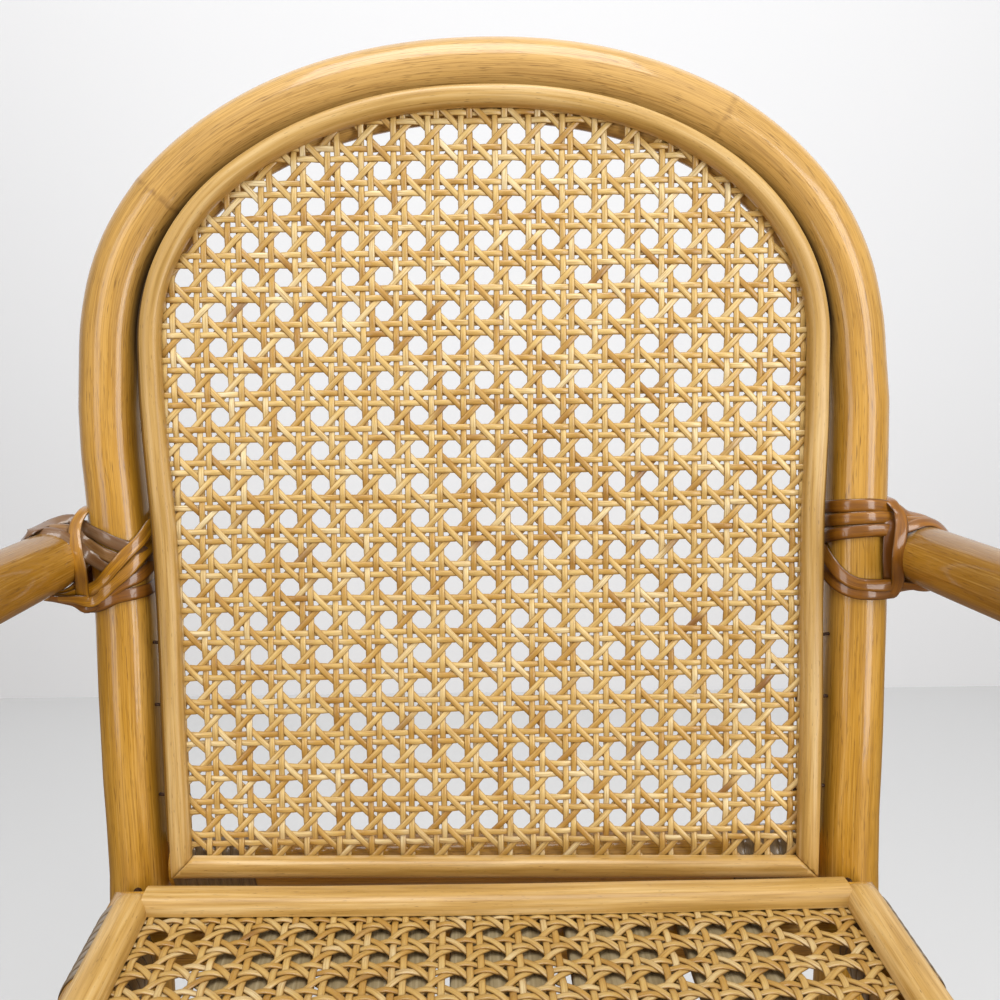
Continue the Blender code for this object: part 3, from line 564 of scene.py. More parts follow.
def weave(name, pitch, hole, columns, rows, inside, put, rise_share, width_share):
    """The six-way weave: uprights, level strands and two sets of slanting strands.

    Holes stand at whole numbers. put turns places across, along and out into the chair's own.
    The shares are of the usual rise and width of a strand.
    """
    sets = {"uprights": [], "levels": [], "slants_down": [], "slants_up": []}
    column_range = np.arange(columns[0] * STRAND_STEPS, columns[1] * STRAND_STEPS + 1)
    row_range = np.arange(rows[0] * STRAND_STEPS, rows[1] * STRAND_STEPS + 1)
    wave = math.tau / STRAND_STEPS
    rise, slant_rise = STRAND_RISE * rise_share, SLANT_RISE * rise_share
    wobble = np.random.default_rng(7)

    def lay(kind, x, y, height, turn):
        """Keeps one strand, a little out of its place, where it lies inside the panel."""
        shift = wobble.uniform(-0.025, 0.025)
        drift = 0.012 * np.sin((x + y) * 0.9 + wobble.uniform(0, 6))
        x = x + (shift + drift) * abs(turn[1])
        y = y + (shift + drift) * abs(turn[0])
        places = np.stack([hole[0] + x * pitch[0], hole[1] + y * pitch[1],
                           height * wobble.uniform(0.92, 1.08)], axis=1)
        places = clip_run(places, inside)
        if places is not None:
            sets[kind].append(places)

    for column in range(*columns):
        y = row_range / STRAND_STEPS
        for offset, sign in ((PAIR_OFFSET, 1), (1 - PAIR_OFFSET, -1)):
            lay("uprights", column + offset + 0 * y, y, sign * rise * np.sin(row_range * wave),
                (0, 1))
    x = column_range / STRAND_STEPS
    for row in range(*rows):
        for offset, sign in ((PAIR_OFFSET, -1), (1 - PAIR_OFFSET, 1)):
            lay("levels", x, row + offset + 0 * x, sign * rise * np.sin(column_range * wave),
                (1, 0))
    reach = columns[1] - columns[0] + rows[1] - rows[0]
    for number in range(-reach, reach):
        for kind, sign in (("slants_down", -1), ("slants_up", 1)):
            lay(kind, x, number + 0.5 + sign * x,
                -sign * slant_rise * np.cos(column_range * wave), (0.5, 0.5))
    pieces = []
    for kind, runs in sets.items():
        lines = []
        stains = []
        for places in runs:
            middle, normal = put(places)
            aim = unit(np.gradient(middle, axis=0))
            across = unit(np.cross(aim, normal))
            lines.append((middle, across, np.cross(across, aim)))
            stains.append(stain_along(len(middle), wobble) if kind == "slants_up"
                          else np.zeros(len(middle)))
        section = strand_section(STRAND_WIDTH * width_share)
        pieces.append(strands(name + "_" + kind, lines, section, "stain", stains))
    return pieces


def inside_panel(places):
    """Whether places across and along the back lie within the middle of the panel bead."""
    half_width = HOOP_HALF_WIDTH - RING_INSET - BEAD_SHIFT
    apex = HOOP_APEX - RING_INSET + BEAD_SHIFT
    across = np.abs(places[:, 0])
    above = np.clip((places[:, 1] - HOOP_SPRING) / (apex - HOOP_SPRING), 0, None)
    reach = half_width * np.clip(1 - above ** ARCH_POWER, 0, None) ** (1 / ARCH_POWER)
    taper = PANEL_TAPER * np.clip(1 - places[:, 1] / HOOP_SPRING, 0, 1)
    foot = BEAD_FOOT - BEAD_TILT * np.clip(places[:, 0] / half_width / 2 + 0.5, 0, 1)
    return (across < reach - taper) & (places[:, 1] > foot) & (above < 1)


def put_on_back(places):
    """Turns a back strand's places into the chair's own, with their outward aims."""
    origin = np.array(on_back(0, 0, CANE_FRONTING))
    middle = (origin + places[:, :1] * np.array([1, 0, 0]) + places[:, 1:2] * np.array(BACK_UP)
              + places[:, 2:] * np.array(BACK_FRONT))
    return middle, np.tile(np.array(BACK_FRONT), (len(places), 1))


def inside_seat(places):
    """Whether places across and along the seat lie within the middle of its beads."""
    half_width = SEAT_RAIL_HALF_WIDTH - SEAT_BEAD_INSET
    return ((np.abs(places[:, 0]) < half_width)
            & (places[:, 1] > FRONT_RAIL_Y + SEAT_BEAD_INSET)
            & (places[:, 1] < REAR_RAIL_Y - SEAT_BEAD_INSET))


def put_on_seat(places):
    """Turns a seat strand's places into the chair's own, sagging a little in the middle."""
    middle_y = (FRONT_RAIL_Y + REAR_RAIL_Y) / 2
    half_depth = (REAR_RAIL_Y - FRONT_RAIL_Y) / 2
    sag = SEAT_SAG * np.clip(1 - (places[:, 0] / SEAT_RAIL_HALF_WIDTH) ** 2, 0, 1) * np.clip(
        1 - ((places[:, 1] - middle_y) / half_depth) ** 2, 0, 1)
    middle = np.stack([places[:, 0], places[:, 1], SEAT_CANE_Z - sag + places[:, 2]], axis=1)
    return middle, np.tile(np.array([0.0, 0.0, 1.0]), (len(places), 1))


# ---------------------------------------------------------------- peel

def gap_to_pole(places, first, second, radius):
    """How far each place lies outside a straight pole."""
    first, second = np.array(first), np.array(second)
    aim = second - first
    share = np.clip((places - first) @ aim / (aim @ aim), 0, 1)
    return np.linalg.norm(places - first - share[:, None] * aim, axis=1) - radius


def gap_to_joint(places, poles, softness):
    """How far each place lies outside several poles, their inner corners filled a little."""
    gaps = [gap_to_pole(places, *pole_line) for pole_line in poles]
    total = gaps[0]
    for gap in gaps[1:]:
        share = np.clip(0.5 + 0.5 * (gap - total) / softness, 0, 1)
        total = gap * (1 - share) + total * share - softness * share * (1 - share)
    return total


def press_on(places, poles, lift, softness):
    """Moves places onto the poles' surface, lift above it, and gives the outward aims there."""
    step = 0.0002
    for _ in range(6):
        slope = np.stack([(gap_to_joint(places + step * axis, poles, softness)
                           - gap_to_joint(places - step * axis, poles, softness)) / (2 * step)
                          for axis in np.eye(3)], axis=1)
        slope /= np.linalg.norm(slope, axis=1)[:, None] + 1e-9
        places = places - slope * (gap_to_joint(places, poles, softness) - lift)[:, None]
    return places, slope


def peel_section():
    """A strip of skin: flat behind, slightly crowned, with thin edges."""
    return [(PEEL_WIDTH / 2 * across, PEEL_THICKNESS * out) for across, out in
            ((-0.96, -0.5), (0.96, -0.5), (1, -0.1), (0.9, 0.3), (0.5, 0.44), (0, 0.5),
             (-0.5, 0.44), (-0.9, 0.3), (-1, -0.1))]


def smooth_line(points, count):
    """A smooth line through a few places."""
    runs = lengths_along(points)
    slopes = np.gradient(points, runs, axis=0)
    out = []
    for run in np.linspace(0, runs[-1], count):
        i = min(np.searchsorted(runs, run, side="right") - 1, len(runs) - 2)
        span = runs[i + 1] - runs[i]
        t = (run - runs[i]) / span
        out.append(points[i] * (2 * t ** 3 - 3 * t ** 2 + 1)
                   + slopes[i] * span * (t ** 3 - 2 * t ** 2 + t)
                   + points[i + 1] * (3 * t ** 2 - 2 * t ** 3)
                   + slopes[i + 1] * span * (t ** 3 - t ** 2))
    return np.array(out)


def peel_line(points, poles, lift=PEEL_THICKNESS * 0.55, taut=True, softness=0.004,
              facing=(0, 0, 0)):
    """The middles and aims of one strip of peel on the poles under it.

    A taut strip lies on them; another stands off where its own places do. Turns that overlap
    like shingles lean towards their facing.
    """
    points = np.array([tuple(point) for point in points])
    middle = smooth_line(points, max(8, int(lengths_along(points)[-1] / 0.0012)))
    if not taut:
        lift = np.maximum(gap_to_joint(middle, poles, softness), lift)
    middle, outward = press_on(middle, poles, lift, softness)
    aim = unit(np.gradient(middle, axis=0))
    across = unit(np.cross(aim, outward + np.array(facing)))
    return middle, across, np.cross(across, aim)


def wound(first, second, radius, turns):
    """Places along a strip wound round a straight pole from one end of the binding to the other."""
    per_turn = 20
    first, second = Vector(first), Vector(second)
    axis = (second - first).normalized()
    side = axis.orthogonal().normalized()
    other = axis.cross(side)
    places = []
    count = round(turns * per_turn)
    for i in range(count + 1):
        angle = math.tau * i / per_turn
        places.append(first.lerp(second, i / count)
                      + (side * math.cos(angle) + other * math.sin(angle)) * radius)
    return places


def binding(name, lines, tones):
    """Strips of peel in one piece, each with a tone that says how pale or dark it is."""
    return strands(name, lines, peel_section(), "tone",
                   [np.full(len(line[0]), tone) for line, tone in zip(lines, tones)])


def wrapping(name, runs, pole_line, turns):
    """Peel wound evenly round a straight pole, over one or more runs of it."""
    lines = [peel_line(wound(first, second, pole_line[2], turns), [pole_line])
             for first, second in runs]
    return binding(name, lines, [0.5] * len(lines))


# ---------------------------------------------------------------- finishes

# How the Mix node mixes colours: its input 0 is the share, and 6 and 7 are the two colours
OF_COLOURS = {"settings": {"data_type": "RGBA"}, "output": 2}


def paint(code):
    """A colour written as sRGB hex, as the linear numbers that a shader takes."""
    values = [int(code[i:i + 2], 16) / 255 for i in (1, 3, 5)]
    return tuple(v / 12.92 if v <= 0.04045 else ((v + 0.055) / 1.055) ** 2.4
                 for v in values) + (1.0,)


def add(tree, kind, inputs=(), settings=None, stops=(), output=0):
    """Adds a node with its settings, colour stops and links, and gives one of its outputs.

    Inputs go by name or in their order, and each is a number, a colour or a link.
    """
    new = tree.nodes.new("ShaderNode" + kind)
    for name, value in (settings or {}).items():
        setattr(new, name, value)
    while stops and len(new.color_ramp.elements) < len(stops):
        new.color_ramp.elements.new(0.5)
    for i, (position, colour) in enumerate(stops):
        new.color_ramp.elements[i].position = position
        new.color_ramp.elements[i].color = (
            paint(colour) if isinstance(colour, str) else (colour,) * 3 + (1,))
    for name, value in inputs.items() if isinstance(inputs, dict) else enumerate(inputs):
        if isinstance(value, bpy.types.NodeSocket):
            tree.links.new(value, new.inputs[name])
        else:
            new.inputs[name].default_value = paint(value) if isinstance(value, str) else value
    return new.outputs[output]


def join(tree, shader, **links):
    """Links values to the shader's sockets, whose names have _ for a space here."""
    for socket, value in links.items():
        tree.links.new(value, shader.inputs[socket.replace("_", " ")])


def new_finish(name, **fixed):
    """A material with its shader, whose fixed values are set on the shader's own sockets."""
    material = bpy.data.materials.new(name)
    material.use_nodes = True
    tree = material.node_tree
    shader = tree.nodes["Principled BSDF"]
    for socket, value in fixed.items():
        shader.inputs[socket.replace("_", " ")].default_value = value
    return material, tree, shader


def coordinate(tree, axis):
    """The object's own coordinate along an axis."""
    place = add(tree, "TexCoord", output="Object")
    return add(tree, "SeparateXYZ", [place], output=axis)


def grain_noise(tree, vector, size_mm, detail=2.0, roughness=0.5):
    """Noise whose blotches are size_mm across, across and along the grain."""
    scale = tuple(1000 / size for size in size_mm)
    stretched = add(tree, "Mapping", {"Vector": vector, "Scale": scale})
    return add(tree, "TexNoise", {"Vector": stretched, "Scale": 1.0, "Detail": detail,
                                  "Roughness": roughness})


def streaked(tree, colour, noise, stain, *stops):
    """A colour with a second one laid over it where the noise has it."""
    share = add(tree, "ValToRGB", [noise], stops=stops)
    return add(tree, "Mix", {0: share, 6: colour, 7: stain}, **OF_COLOURS)


def edge_share(tree, grain, inner, outer, most):
    """How near a strand's cut edge a place is, from its distance across, in metres."""
    across = add(tree, "SeparateXYZ", [grain], output="X")
    across = add(tree, "Math", [across], {"operation": "ABSOLUTE"})
    return add(tree, "MapRange", [across, inner, outer, 0.0, most])


def rattan_pole_finish():
    """Rattan with its skin on, peeled smooth and varnished: olive amber with long fine fibres.

    The skin's fibres run its whole length, so streaks are under a millimetre wide and
    centimetres long, and a growth ring leaves a ragged darker line round the pole. The hard
    varnish throws narrow creamy gloss lines along the pole.
    """
    material, tree, shader = new_finish("varnished_rattan_pole", IOR=1.42, Coat_Roughness=0.10)
    grain = add(tree, "Attribute", settings={"attribute_name": "grain"}, output="Vector")
    # Broad bands of straw and amber, 5 mm wide and 90 mm long
    broad = grain_noise(tree, grain, (5, 5, 90), 3)
    colour = add(tree, "ValToRGB", [broad],
                 stops=[(0.30, "#A87719"), (0.5, "#C08C2A"), (0.72, "#D4A24A")])
    # Painted light: the colour pales over the top 150 mm of the arch, for the overhead light and
    # its gloss reflection falling there
    pale = add(tree, "MapRange", [coordinate(tree, "Z"), 0.46, 0.61, 0.0, 0.5])
    colour = add(tree, "Mix", {0: pale, 6: colour, 7: "#D8B57A"}, **OF_COLOURS)
    # The arms and front legs are a darker olive than the back
    across = add(tree, "Math", [coordinate(tree, "X")], {"operation": "ABSOLUTE"})
    olive = add(tree, "MapRange", [across, 0.1562, 0.160, 0.0, 0.75])
    colour = add(tree, "Mix", {0: olive, 6: colour, 7: "#7A5208"}, **OF_COLOURS)
    # Fibres 0.5 mm wide and 35 mm long
    fibre = grain_noise(tree, grain, (0.5, 0.5, 35), 3, 0.6)
    colour = streaked(tree, colour, fibre, "#825612", (0.48, 0.0), (0.72, 0.6))
    colour = streaked(tree, colour, fibre, "#DDB66C", (0.30, 0.3), (0.44, 0.0))
    # Dark flecks in the pores, 0.45 mm wide and 7 mm long
    fleck = grain_noise(tree, grain, (0.45, 0.45, 7), 1)
    colour = streaked(tree, colour, fleck, "#5E3A0E", (0.60, 0.0), (0.76, 0.6))
    # The growth ring's faint line, ragged by 2 mm and broken
    ring = add(tree, "Attribute", settings={"attribute_name": "ring"}, output="Fac")
    ragged = add(tree, "Math", [grain_noise(tree, grain, (4, 4, 4), 2), 0.004, -0.002],
                 {"operation": "MULTIPLY_ADD"})
    distance = add(tree, "Math", [ring, ragged], {"operation": "ADD"})
    distance = add(tree, "Math", [distance], {"operation": "ABSOLUTE"})
    near = add(tree, "MapRange", [distance, 0.0003, 0.0017, 1.0, 0.0])
    broken = add(tree, "ValToRGB", [grain_noise(tree, grain, (2.5, 2.5, 6), 2)],
                 stops=[(0.40, 0.10), (0.62, 0.42)])
    scar = add(tree, "Math", [near, broken], {"operation": "MULTIPLY"})
    colour = add(tree, "Mix", {0: scar, 6: colour, 7: "#6B4318"}, **OF_COLOURS)
    # Painted shade: the narrow gap between the posts and the ring is painted near black and loses
    # its gloss, for the deep shade that falls in it
    painted_gap_shade = add(tree, "Attribute", settings={"attribute_name": "painted_gap_shade"}, output="Fac")
    colour = add(tree, "Mix", {0: painted_gap_shade, 6: colour, 7: "#1C0F06"}, **OF_COLOURS)
    coat = add(tree, "MapRange", [painted_gap_shade, 0.0, 1.0, 0.6, 0.0])
    rough = add(tree, "MapRange", [fibre, 0.0, 1.0, 0.34, 0.5])
    rough = add(tree, "MapRange", [painted_gap_shade, 0.0, 1.0, rough, 0.95])
    height = add(tree, "Math", [fibre, fleck], {"operation": "ADD"})
    relief = add(tree, "Bump", {"Height": height, "Strength": 0.25, "Distance": 0.0002})
    join(tree, shader, Base_Color=colour, Roughness=rough, Coat_Weight=coat, Normal=relief)
    return material


def split_bead_finish():
    """Split rattan core: no skin, so open straw fibres, a thin coat and small dark dashes."""
    material, tree, shader = new_finish("split_rattan_bead", IOR=1.46, Roughness=0.42,
                                        Coat_Weight=0.2, Coat_Roughness=0.28)
    grain = add(tree, "Attribute", settings={"attribute_name": "grain"}, output="Vector")
    # Bands 2.5 mm wide and 60 mm long, and fibres 0.55 mm wide and 22 mm long
    broad = grain_noise(tree, grain, (2.5, 2.5, 60), 3)
    colour = add(tree, "ValToRGB", [broad],
                 stops=[(0.30, "#A9823C"), (0.5, "#C29A55"), (0.70, "#D6B57A")])
    fibre = grain_noise(tree, grain, (0.55, 0.55, 22), 3, 0.6)
    colour = streaked(tree, colour, fibre, "#8E6428", (0.5, 0.0), (0.74, 0.5))
    # Dashes 0.4 mm wide and 3.5 mm long
    dash = grain_noise(tree, grain, (0.4, 0.4, 3.5), 1)
    colour = streaked(tree, colour, dash, "#5E3F18", (0.68, 0.0), (0.78, 0.6))
    relief = add(tree, "Bump", {"Height": fibre, "Strength": 0.35, "Distance": 0.00025})
    join(tree, shader, Base_Color=colour, Normal=relief)
    return material


def cane_finish():
    """Cane strands, cut from the skin: glossy pale straw, each strand its own shade."""
    material, tree, shader = new_finish("woven_cane_skin", IOR=1.48, Roughness=0.36,
                                        Coat_Weight=0.25, Coat_Roughness=0.2)
    grain = add(tree, "Attribute", settings={"attribute_name": "grain"}, output="Vector")
    # Shade changes from strand to strand, and every 25 mm along one
    shade = grain_noise(tree, grain, (30, 5, 25), 2)
    colour = add(tree, "ValToRGB", [shade],
                 stops=[(0.26, "#A47630"), (0.40, "#C49A4E"), (0.54, "#D9B872"), (0.72, "#EDDAAA")])
    # Fibres 0.35 mm wide and 9 mm long
    fibre = grain_noise(tree, grain, (0.35, 5, 9), 2)
    colour = streaked(tree, colour, fibre, "#A0743A", (0.46, 0.0), (0.7, 0.6))
    stain = add(tree, "Attribute", settings={"attribute_name": "stain"}, output="Fac")
    colour = add(tree, "Mix", {0: stain, 6: colour, 7: "#8A5E2E"}, **OF_COLOURS)
    # The seat's cane has darkened with use
    worn = add(tree, "MapRange", [coordinate(tree, "Z"), 0.303, 0.31, 0.35, 0.0])
    colour = add(tree, "Mix", {0: worn, 6: colour, 7: "#85601E"}, **OF_COLOURS)
    # Painted shade: each strand darkens to dull brown along its edges, for the shade between
    # crossing strands
    edge = edge_share(tree, grain, 0.00075, 0.00116, 0.75)
    colour = add(tree, "Mix", {0: edge, 6: colour, 7: "#8F6428"}, **OF_COLOURS)
    relief = add(tree, "Bump", {"Height": fibre, "Strength": 0.2, "Distance": 0.0001})
    join(tree, shader, Base_Color=colour, Normal=relief)
    return material


def peel_finish(name, dark, *stops):
    """Strips of rattan skin, soaked, wound tight and varnished: glossy, with fine long lines."""
    material, tree, shader = new_finish(name, IOR=1.4, Roughness=0.36, Coat_Weight=0.75,
                                        Coat_Roughness=0.10)
    grain = add(tree, "Attribute", settings={"attribute_name": "grain"}, output="Vector")
    tone = add(tree, "Attribute", settings={"attribute_name": "tone"}, output="Fac")
    colour = add(tree, "ValToRGB", [tone], stops=stops)
    # Blotches 2 mm wide and 18 mm long, and fibres 0.3 mm wide and 14 mm long
    broad = grain_noise(tree, grain, (2, 6, 18), 2)
    colour = streaked(tree, colour, broad, dark, (0.42, 0.45), (0.62, 0.0))
    fibre = grain_noise(tree, grain, (0.3, 6, 14), 2)
    colour = streaked(tree, colour, fibre, dark, (0.48, 0.0), (0.7, 0.6))
    # The strips darken to near black along their edges, where one turn meets the next
    edge = edge_share(tree, grain, 0.0020, 0.0025, 0.85)
    colour = add(tree, "Mix", {0: edge, 6: colour, 7: "#3A200C"}, **OF_COLOURS)
    relief = add(tree, "Bump", {"Height": fibre, "Strength": 0.4, "Distance": 0.00015})
    join(tree, shader, Base_Color=colour, Normal=relief)
    return material


def slat_finish():
    """Plain split strips of pale wood, unvarnished and grey-brown, matt with open grain."""
    material, tree, shader = new_finish("plain_split_slat", IOR=1.45, Roughness=0.75)
    place = add(tree, "TexCoord", output="Object")
    # Grain runs front to back: 1.2 mm wide and 60 mm long
    streak = grain_noise(tree, place, (1.2, 60, 1.2), 3, 0.6)
    colour = add(tree, "ValToRGB", [streak],
                 stops=[(0.3, "#7C6A48"), (0.5, "#94825E"), (0.7, "#AC9B78")])
    relief = add(tree, "Bump", {"Height": streak, "Strength": 0.3, "Distance": 0.0002})
    join(tree, shader, Base_Color=colour, Normal=relief)
    return material


def steel_finish():
    """Drawn wire nails and screws: bare steel gone brown with rust, and dull."""
    material, tree, shader = new_finish("rusted_steel_wire", Metallic=0.6)
    place = add(tree, "TexCoord", output="Object")
    # Rust in spots 0.8 mm across
    rust = grain_noise(tree, place, (0.8, 0.8, 0.8), 3)
    colour = add(tree, "ValToRGB", [rust],
                 stops=[(0.35, "#2C1E14"), (0.55, "#4A2F1C"), (0.75, "#6E6A64")])
    rough = add(tree, "MapRange", [rust, 0.0, 1.0, 0.75, 0.45])
    join(tree, shader, Base_Color=colour, Roughness=rough)
    return material


FINISHES = {
    "pole": rattan_pole_finish(),
    "bead": split_bead_finish(),
    "cane": cane_finish(),
    "peel": peel_finish("varnished_peel", "#643A14", (0.0, "#6E4012"), (0.35, "#9C6415"),
                        (0.8, "#BA821A"), (1.0, "#7A5E42")),
    "rail_peel": peel_finish("grey_brown_peel", "#54422A", (0.0, "#7E6848"), (1.0, "#9C8460")),
    "slat": slat_finish(),
    "steel": steel_finish(),
}


def settle(piece, slot, node):
    """Gives a piece its finish, hangs it under the root body, and hides the solid it stands for."""
    piece.data.materials.clear()
    piece.data.materials.append(FINISHES[slot])
    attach(piece, "root")
    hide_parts(node)


# ---------------------------------------------------------------- the chair

def make_back():
    """The hoop with its rear legs, the cross rail, and the panel with its ring and beads."""
    upper = [on_back(across, along) for across, along in
             swayed(arch(HOOP_HALF_WIDTH, HOOP_APEX, HOOP_FOOT), HOOP_SWAY)]
    legs = []
    for _, sign in SIDES:
        # The stray of a post's foot fades out down its leg
        shift = HOOP_SWAY[sign][0][1] / 1000 / (SEAT_HEIGHT - LEG_BEND_DROP)
        leg = [place + Vector((shift * place.z, 0, 0)) for place in rear_leg(sign)]
        legs.append(leg + [leg[-1] - UP * BELOW_FLOOR])
    path = legs[0][::-1] + upper + legs[1]
    # The arch shows two growth rings, and each rear leg gets one
    rings = runs_at(path, on_back(-0.1277, 0.2543), on_back(0.0887, 0.2766),
                    rear_leg_at(-1, 0.05), rear_leg_at(1, 0.07))
    hoop = pole("hoop", path, POLE_RADIUS, rings=rings, eased=False)
    half_width = HOOP_HALF_WIDTH - RING_INSET
    apex = HOOP_APEX - RING_INSET
    ring_path = evenly([on_back(across, along, RING_FRONTING) for across, along in
                        swayed(arch(half_width, apex, RING_FOOT, RING_TAPER), BEAD_SWAY)], 0.002)
    # Painted shade: the hoop and the ring darken where they face each other across the narrow gap
    mark_painted_gap_shade(hoop, ring_path, RING_RADIUS, reach=0.0022)
    slice_off(hoop, (0, 0, 0), -UP)
    settle(hoop, "pole", "back_hoop")
    ends = [on_cross_rail(CROSS_RAIL_ENDS[sign]) for _, sign in SIDES]
    rail = pole("cross_rail", ends, CROSS_RAIL_RADIUS, rings=(0.17,))
    settle(rail, "pole", "back_cross_rail")
    ring = pole("ring", ring_path, RING_RADIUS, rings=(0.12, 0.42), bevel=8)
    mark_painted_gap_shade(ring, evenly(path, 0.002), POLE_RADIUS, reach=0.0095)
    settle(ring, "pole", "panel_ring")
    plane = Matrix.Translation(on_back(0, 0, BEAD_FRONTING)) @ Matrix(
        ((1, 0, 0), tuple(BACK_UP), tuple(BACK_FRONT))).transposed().to_4x4()
    line = swayed(arch(half_width - BEAD_SHIFT, apex + BEAD_SHIFT, BEAD_FOOT - 0.009,
                       PANEL_TAPER), BEAD_SWAY)
    bead = half_round("panel_bead_arch", line, BEAD_WIDTH, BEAD_HEIGHT, plane)
    corner_x = half_width - BEAD_SHIFT - PANEL_TAPER
    tilt = BEAD_TILT / (2 * corner_x)
    line = [(x, BEAD_FOOT - tilt * (x + corner_x)) for x in (-corner_x - 0.01, corner_x + 0.01)]
    foot = half_round("panel_bead_foot", line, BEAD_WIDTH, BEAD_HEIGHT, plane)
    # Both beads run on past the corners, and are then mitred to each other
    for _, sign in SIDES:
        x = sign * corner_x + BEAD_SWAY[sign][0][1] / 1000
        corner = on_back(x, BEAD_FOOT - tilt * (x + corner_x), BEAD_FRONTING)
        slant = (Vector((sign, 0, 0)) + BACK_UP).normalized()
        slice_off(bead, corner + slant * MITRE_GAP, -slant, 0.02)
        slice_off(foot, corner - slant * MITRE_GAP, slant, 0.02)
    settle(bead, "bead", "panel_bead")
    settle(foot, "bead", "panel_bottom_bead")
    for piece in weave("back_cane", BACK_PITCH, BACK_HOLE, (-12, 12), (-24, 3), inside_panel,
                       put_on_back, 1, 1):
        settle(piece, "cane", "back_cane")


def make_arms():
    """The arms, each one pole with its front leg."""
    for side, sign in SIDES:
        path = arm_line(sign)
        path.append(path[-1] - UP * BELOW_FLOOR)
        arm = pole("arm_" + side + "_pole", path, ARM_RADIUS, rings=(0.33, 0.56), eased=False)
        slice_off(arm, (0, 0, 0), -UP)
        settle(arm, "pole", "arm_" + side)


def make_slat(number):
    """One of the five slats under the seat's cane, its edges eased."""
    slat = made("slat_" + str(number), bpy.ops.mesh.primitive_cube_add, size=1, location=(
        (number - 3) * SLAT_PITCH, (FRONT_RAIL_Y + REAR_RAIL_Y) / 2,
        SLAT_TOP - SLAT_THICKNESS / 2))
    bpy.ops.transform.resize(value=(SLAT_WIDTH, REAR_RAIL_Y - FRONT_RAIL_Y - 2 * SLAT_END_GAP,
                                    SLAT_THICKNESS))
    bpy.ops.object.transform_apply()
    edit(slat, bpy.ops.mesh.bevel, offset=0.0012, segments=3)
    smooth(slat)
    settle(slat, "slat", "seat_slat_" + str(number))


def make_seat():
    """The seat's rails, its beads, its cane and the slats under that."""
    for side, sign in SIDES:
        x = sign * SEAT_RAIL_HALF_WIDTH
        rail = pole("side_rail_" + side, [(x, FRONT_RAIL_Y - RAIL_RADIUS, RAIL_Z),
                                          (x, SIDE_RAIL_END, RAIL_Z)], RAIL_RADIUS, rings=(0.11,))
        # Its rear top is cut on a slant
        slice_off(rail, (x, SIDE_RAIL_CUT_Y, RAIL_Z + RAIL_RADIUS), SIDE_RAIL_CUT_AIM, 0.03)
        settle(rail, "pole", "seat_rail_" + side)
    for side, y in (("front", FRONT_RAIL_Y), ("rear", REAR_RAIL_Y)):
        line = [(sign * CROSSWISE_RAIL_REACH, y, RAIL_Z) for _, sign in SIDES]
        settle(pole(side + "_rail", line, RAIL_RADIUS, rings=(0.08,)), "pole", "seat_rail_" + side)
    half_width = SEAT_RAIL_HALF_WIDTH - SEAT_BEAD_INSET
    front = FRONT_RAIL_Y + SEAT_BEAD_INSET
    rear = REAR_RAIL_Y - SEAT_BEAD_INSET
    level = Matrix.Translation((0, 0, SEAT_BEAD_Z))
    for side, sign in SIDES:
        x = sign * half_width
        line = [(x, front - SIDE_BEAD_OVERHANG[0]), (x, rear + SIDE_BEAD_OVERHANG[1])]
        bead = half_round("side_bead_" + side, line,
                          SEAT_BEAD_WIDTH, SEAT_BEAD_HEIGHT, level, SIDE_BEAD_NARROWING)
        settle(bead, "bead", "seat_bead_" + side)
    reach = half_width - SEAT_BEAD_WIDTH / 2 + 0.002
    for side, y, bow in (("front", front, 0.0), ("rear", rear, REAR_BEAD_BOW)):
        line = [(reach * t / 12, y - bow * (1 - (t / 12) ** 2)) for t in range(-12, 13)]
        bead = half_round("bead_" + side, line, SEAT_BEAD_WIDTH, SEAT_BEAD_HEIGHT, level)
        settle(bead, "bead", "seat_bead_" + side)
    for piece in weave("seat_cane", SEAT_PITCH, SEAT_HOLE, (-12, 12), (-21, 3), inside_seat,
                       put_on_seat, 1.15, 1.04):
        settle(piece, "cane", "seat_cane")
    for number in range(1, 6):
        make_slat(number)


def make_stretchers():
    """Four rails between the legs, their ends let into them."""
    lines = {"front": [front_leg_at(sign, STRETCHER_HEIGHT) for _, sign in SIDES],
             "rear": [rear_leg_at(sign, STRETCHER_HEIGHT) for _, sign in SIDES]}
    for side, sign in SIDES:
        lines[side] = [front_leg_at(sign, SIDE_STRETCHER_HEIGHT),
                       rear_leg_at(sign, SIDE_STRETCHER_HEIGHT)]
    for side, (first, second) in lines.items():
        inset = (second - first).normalized() * STRETCHER_SINK
        rail = pole("stretcher_" + side + "_pole", [first + inset, second - inset],
                    STRETCHER_RADIUS, rings=(0.09,), bevel=10, eased=False)
        settle(rail, "pole", "stretcher_" + side)
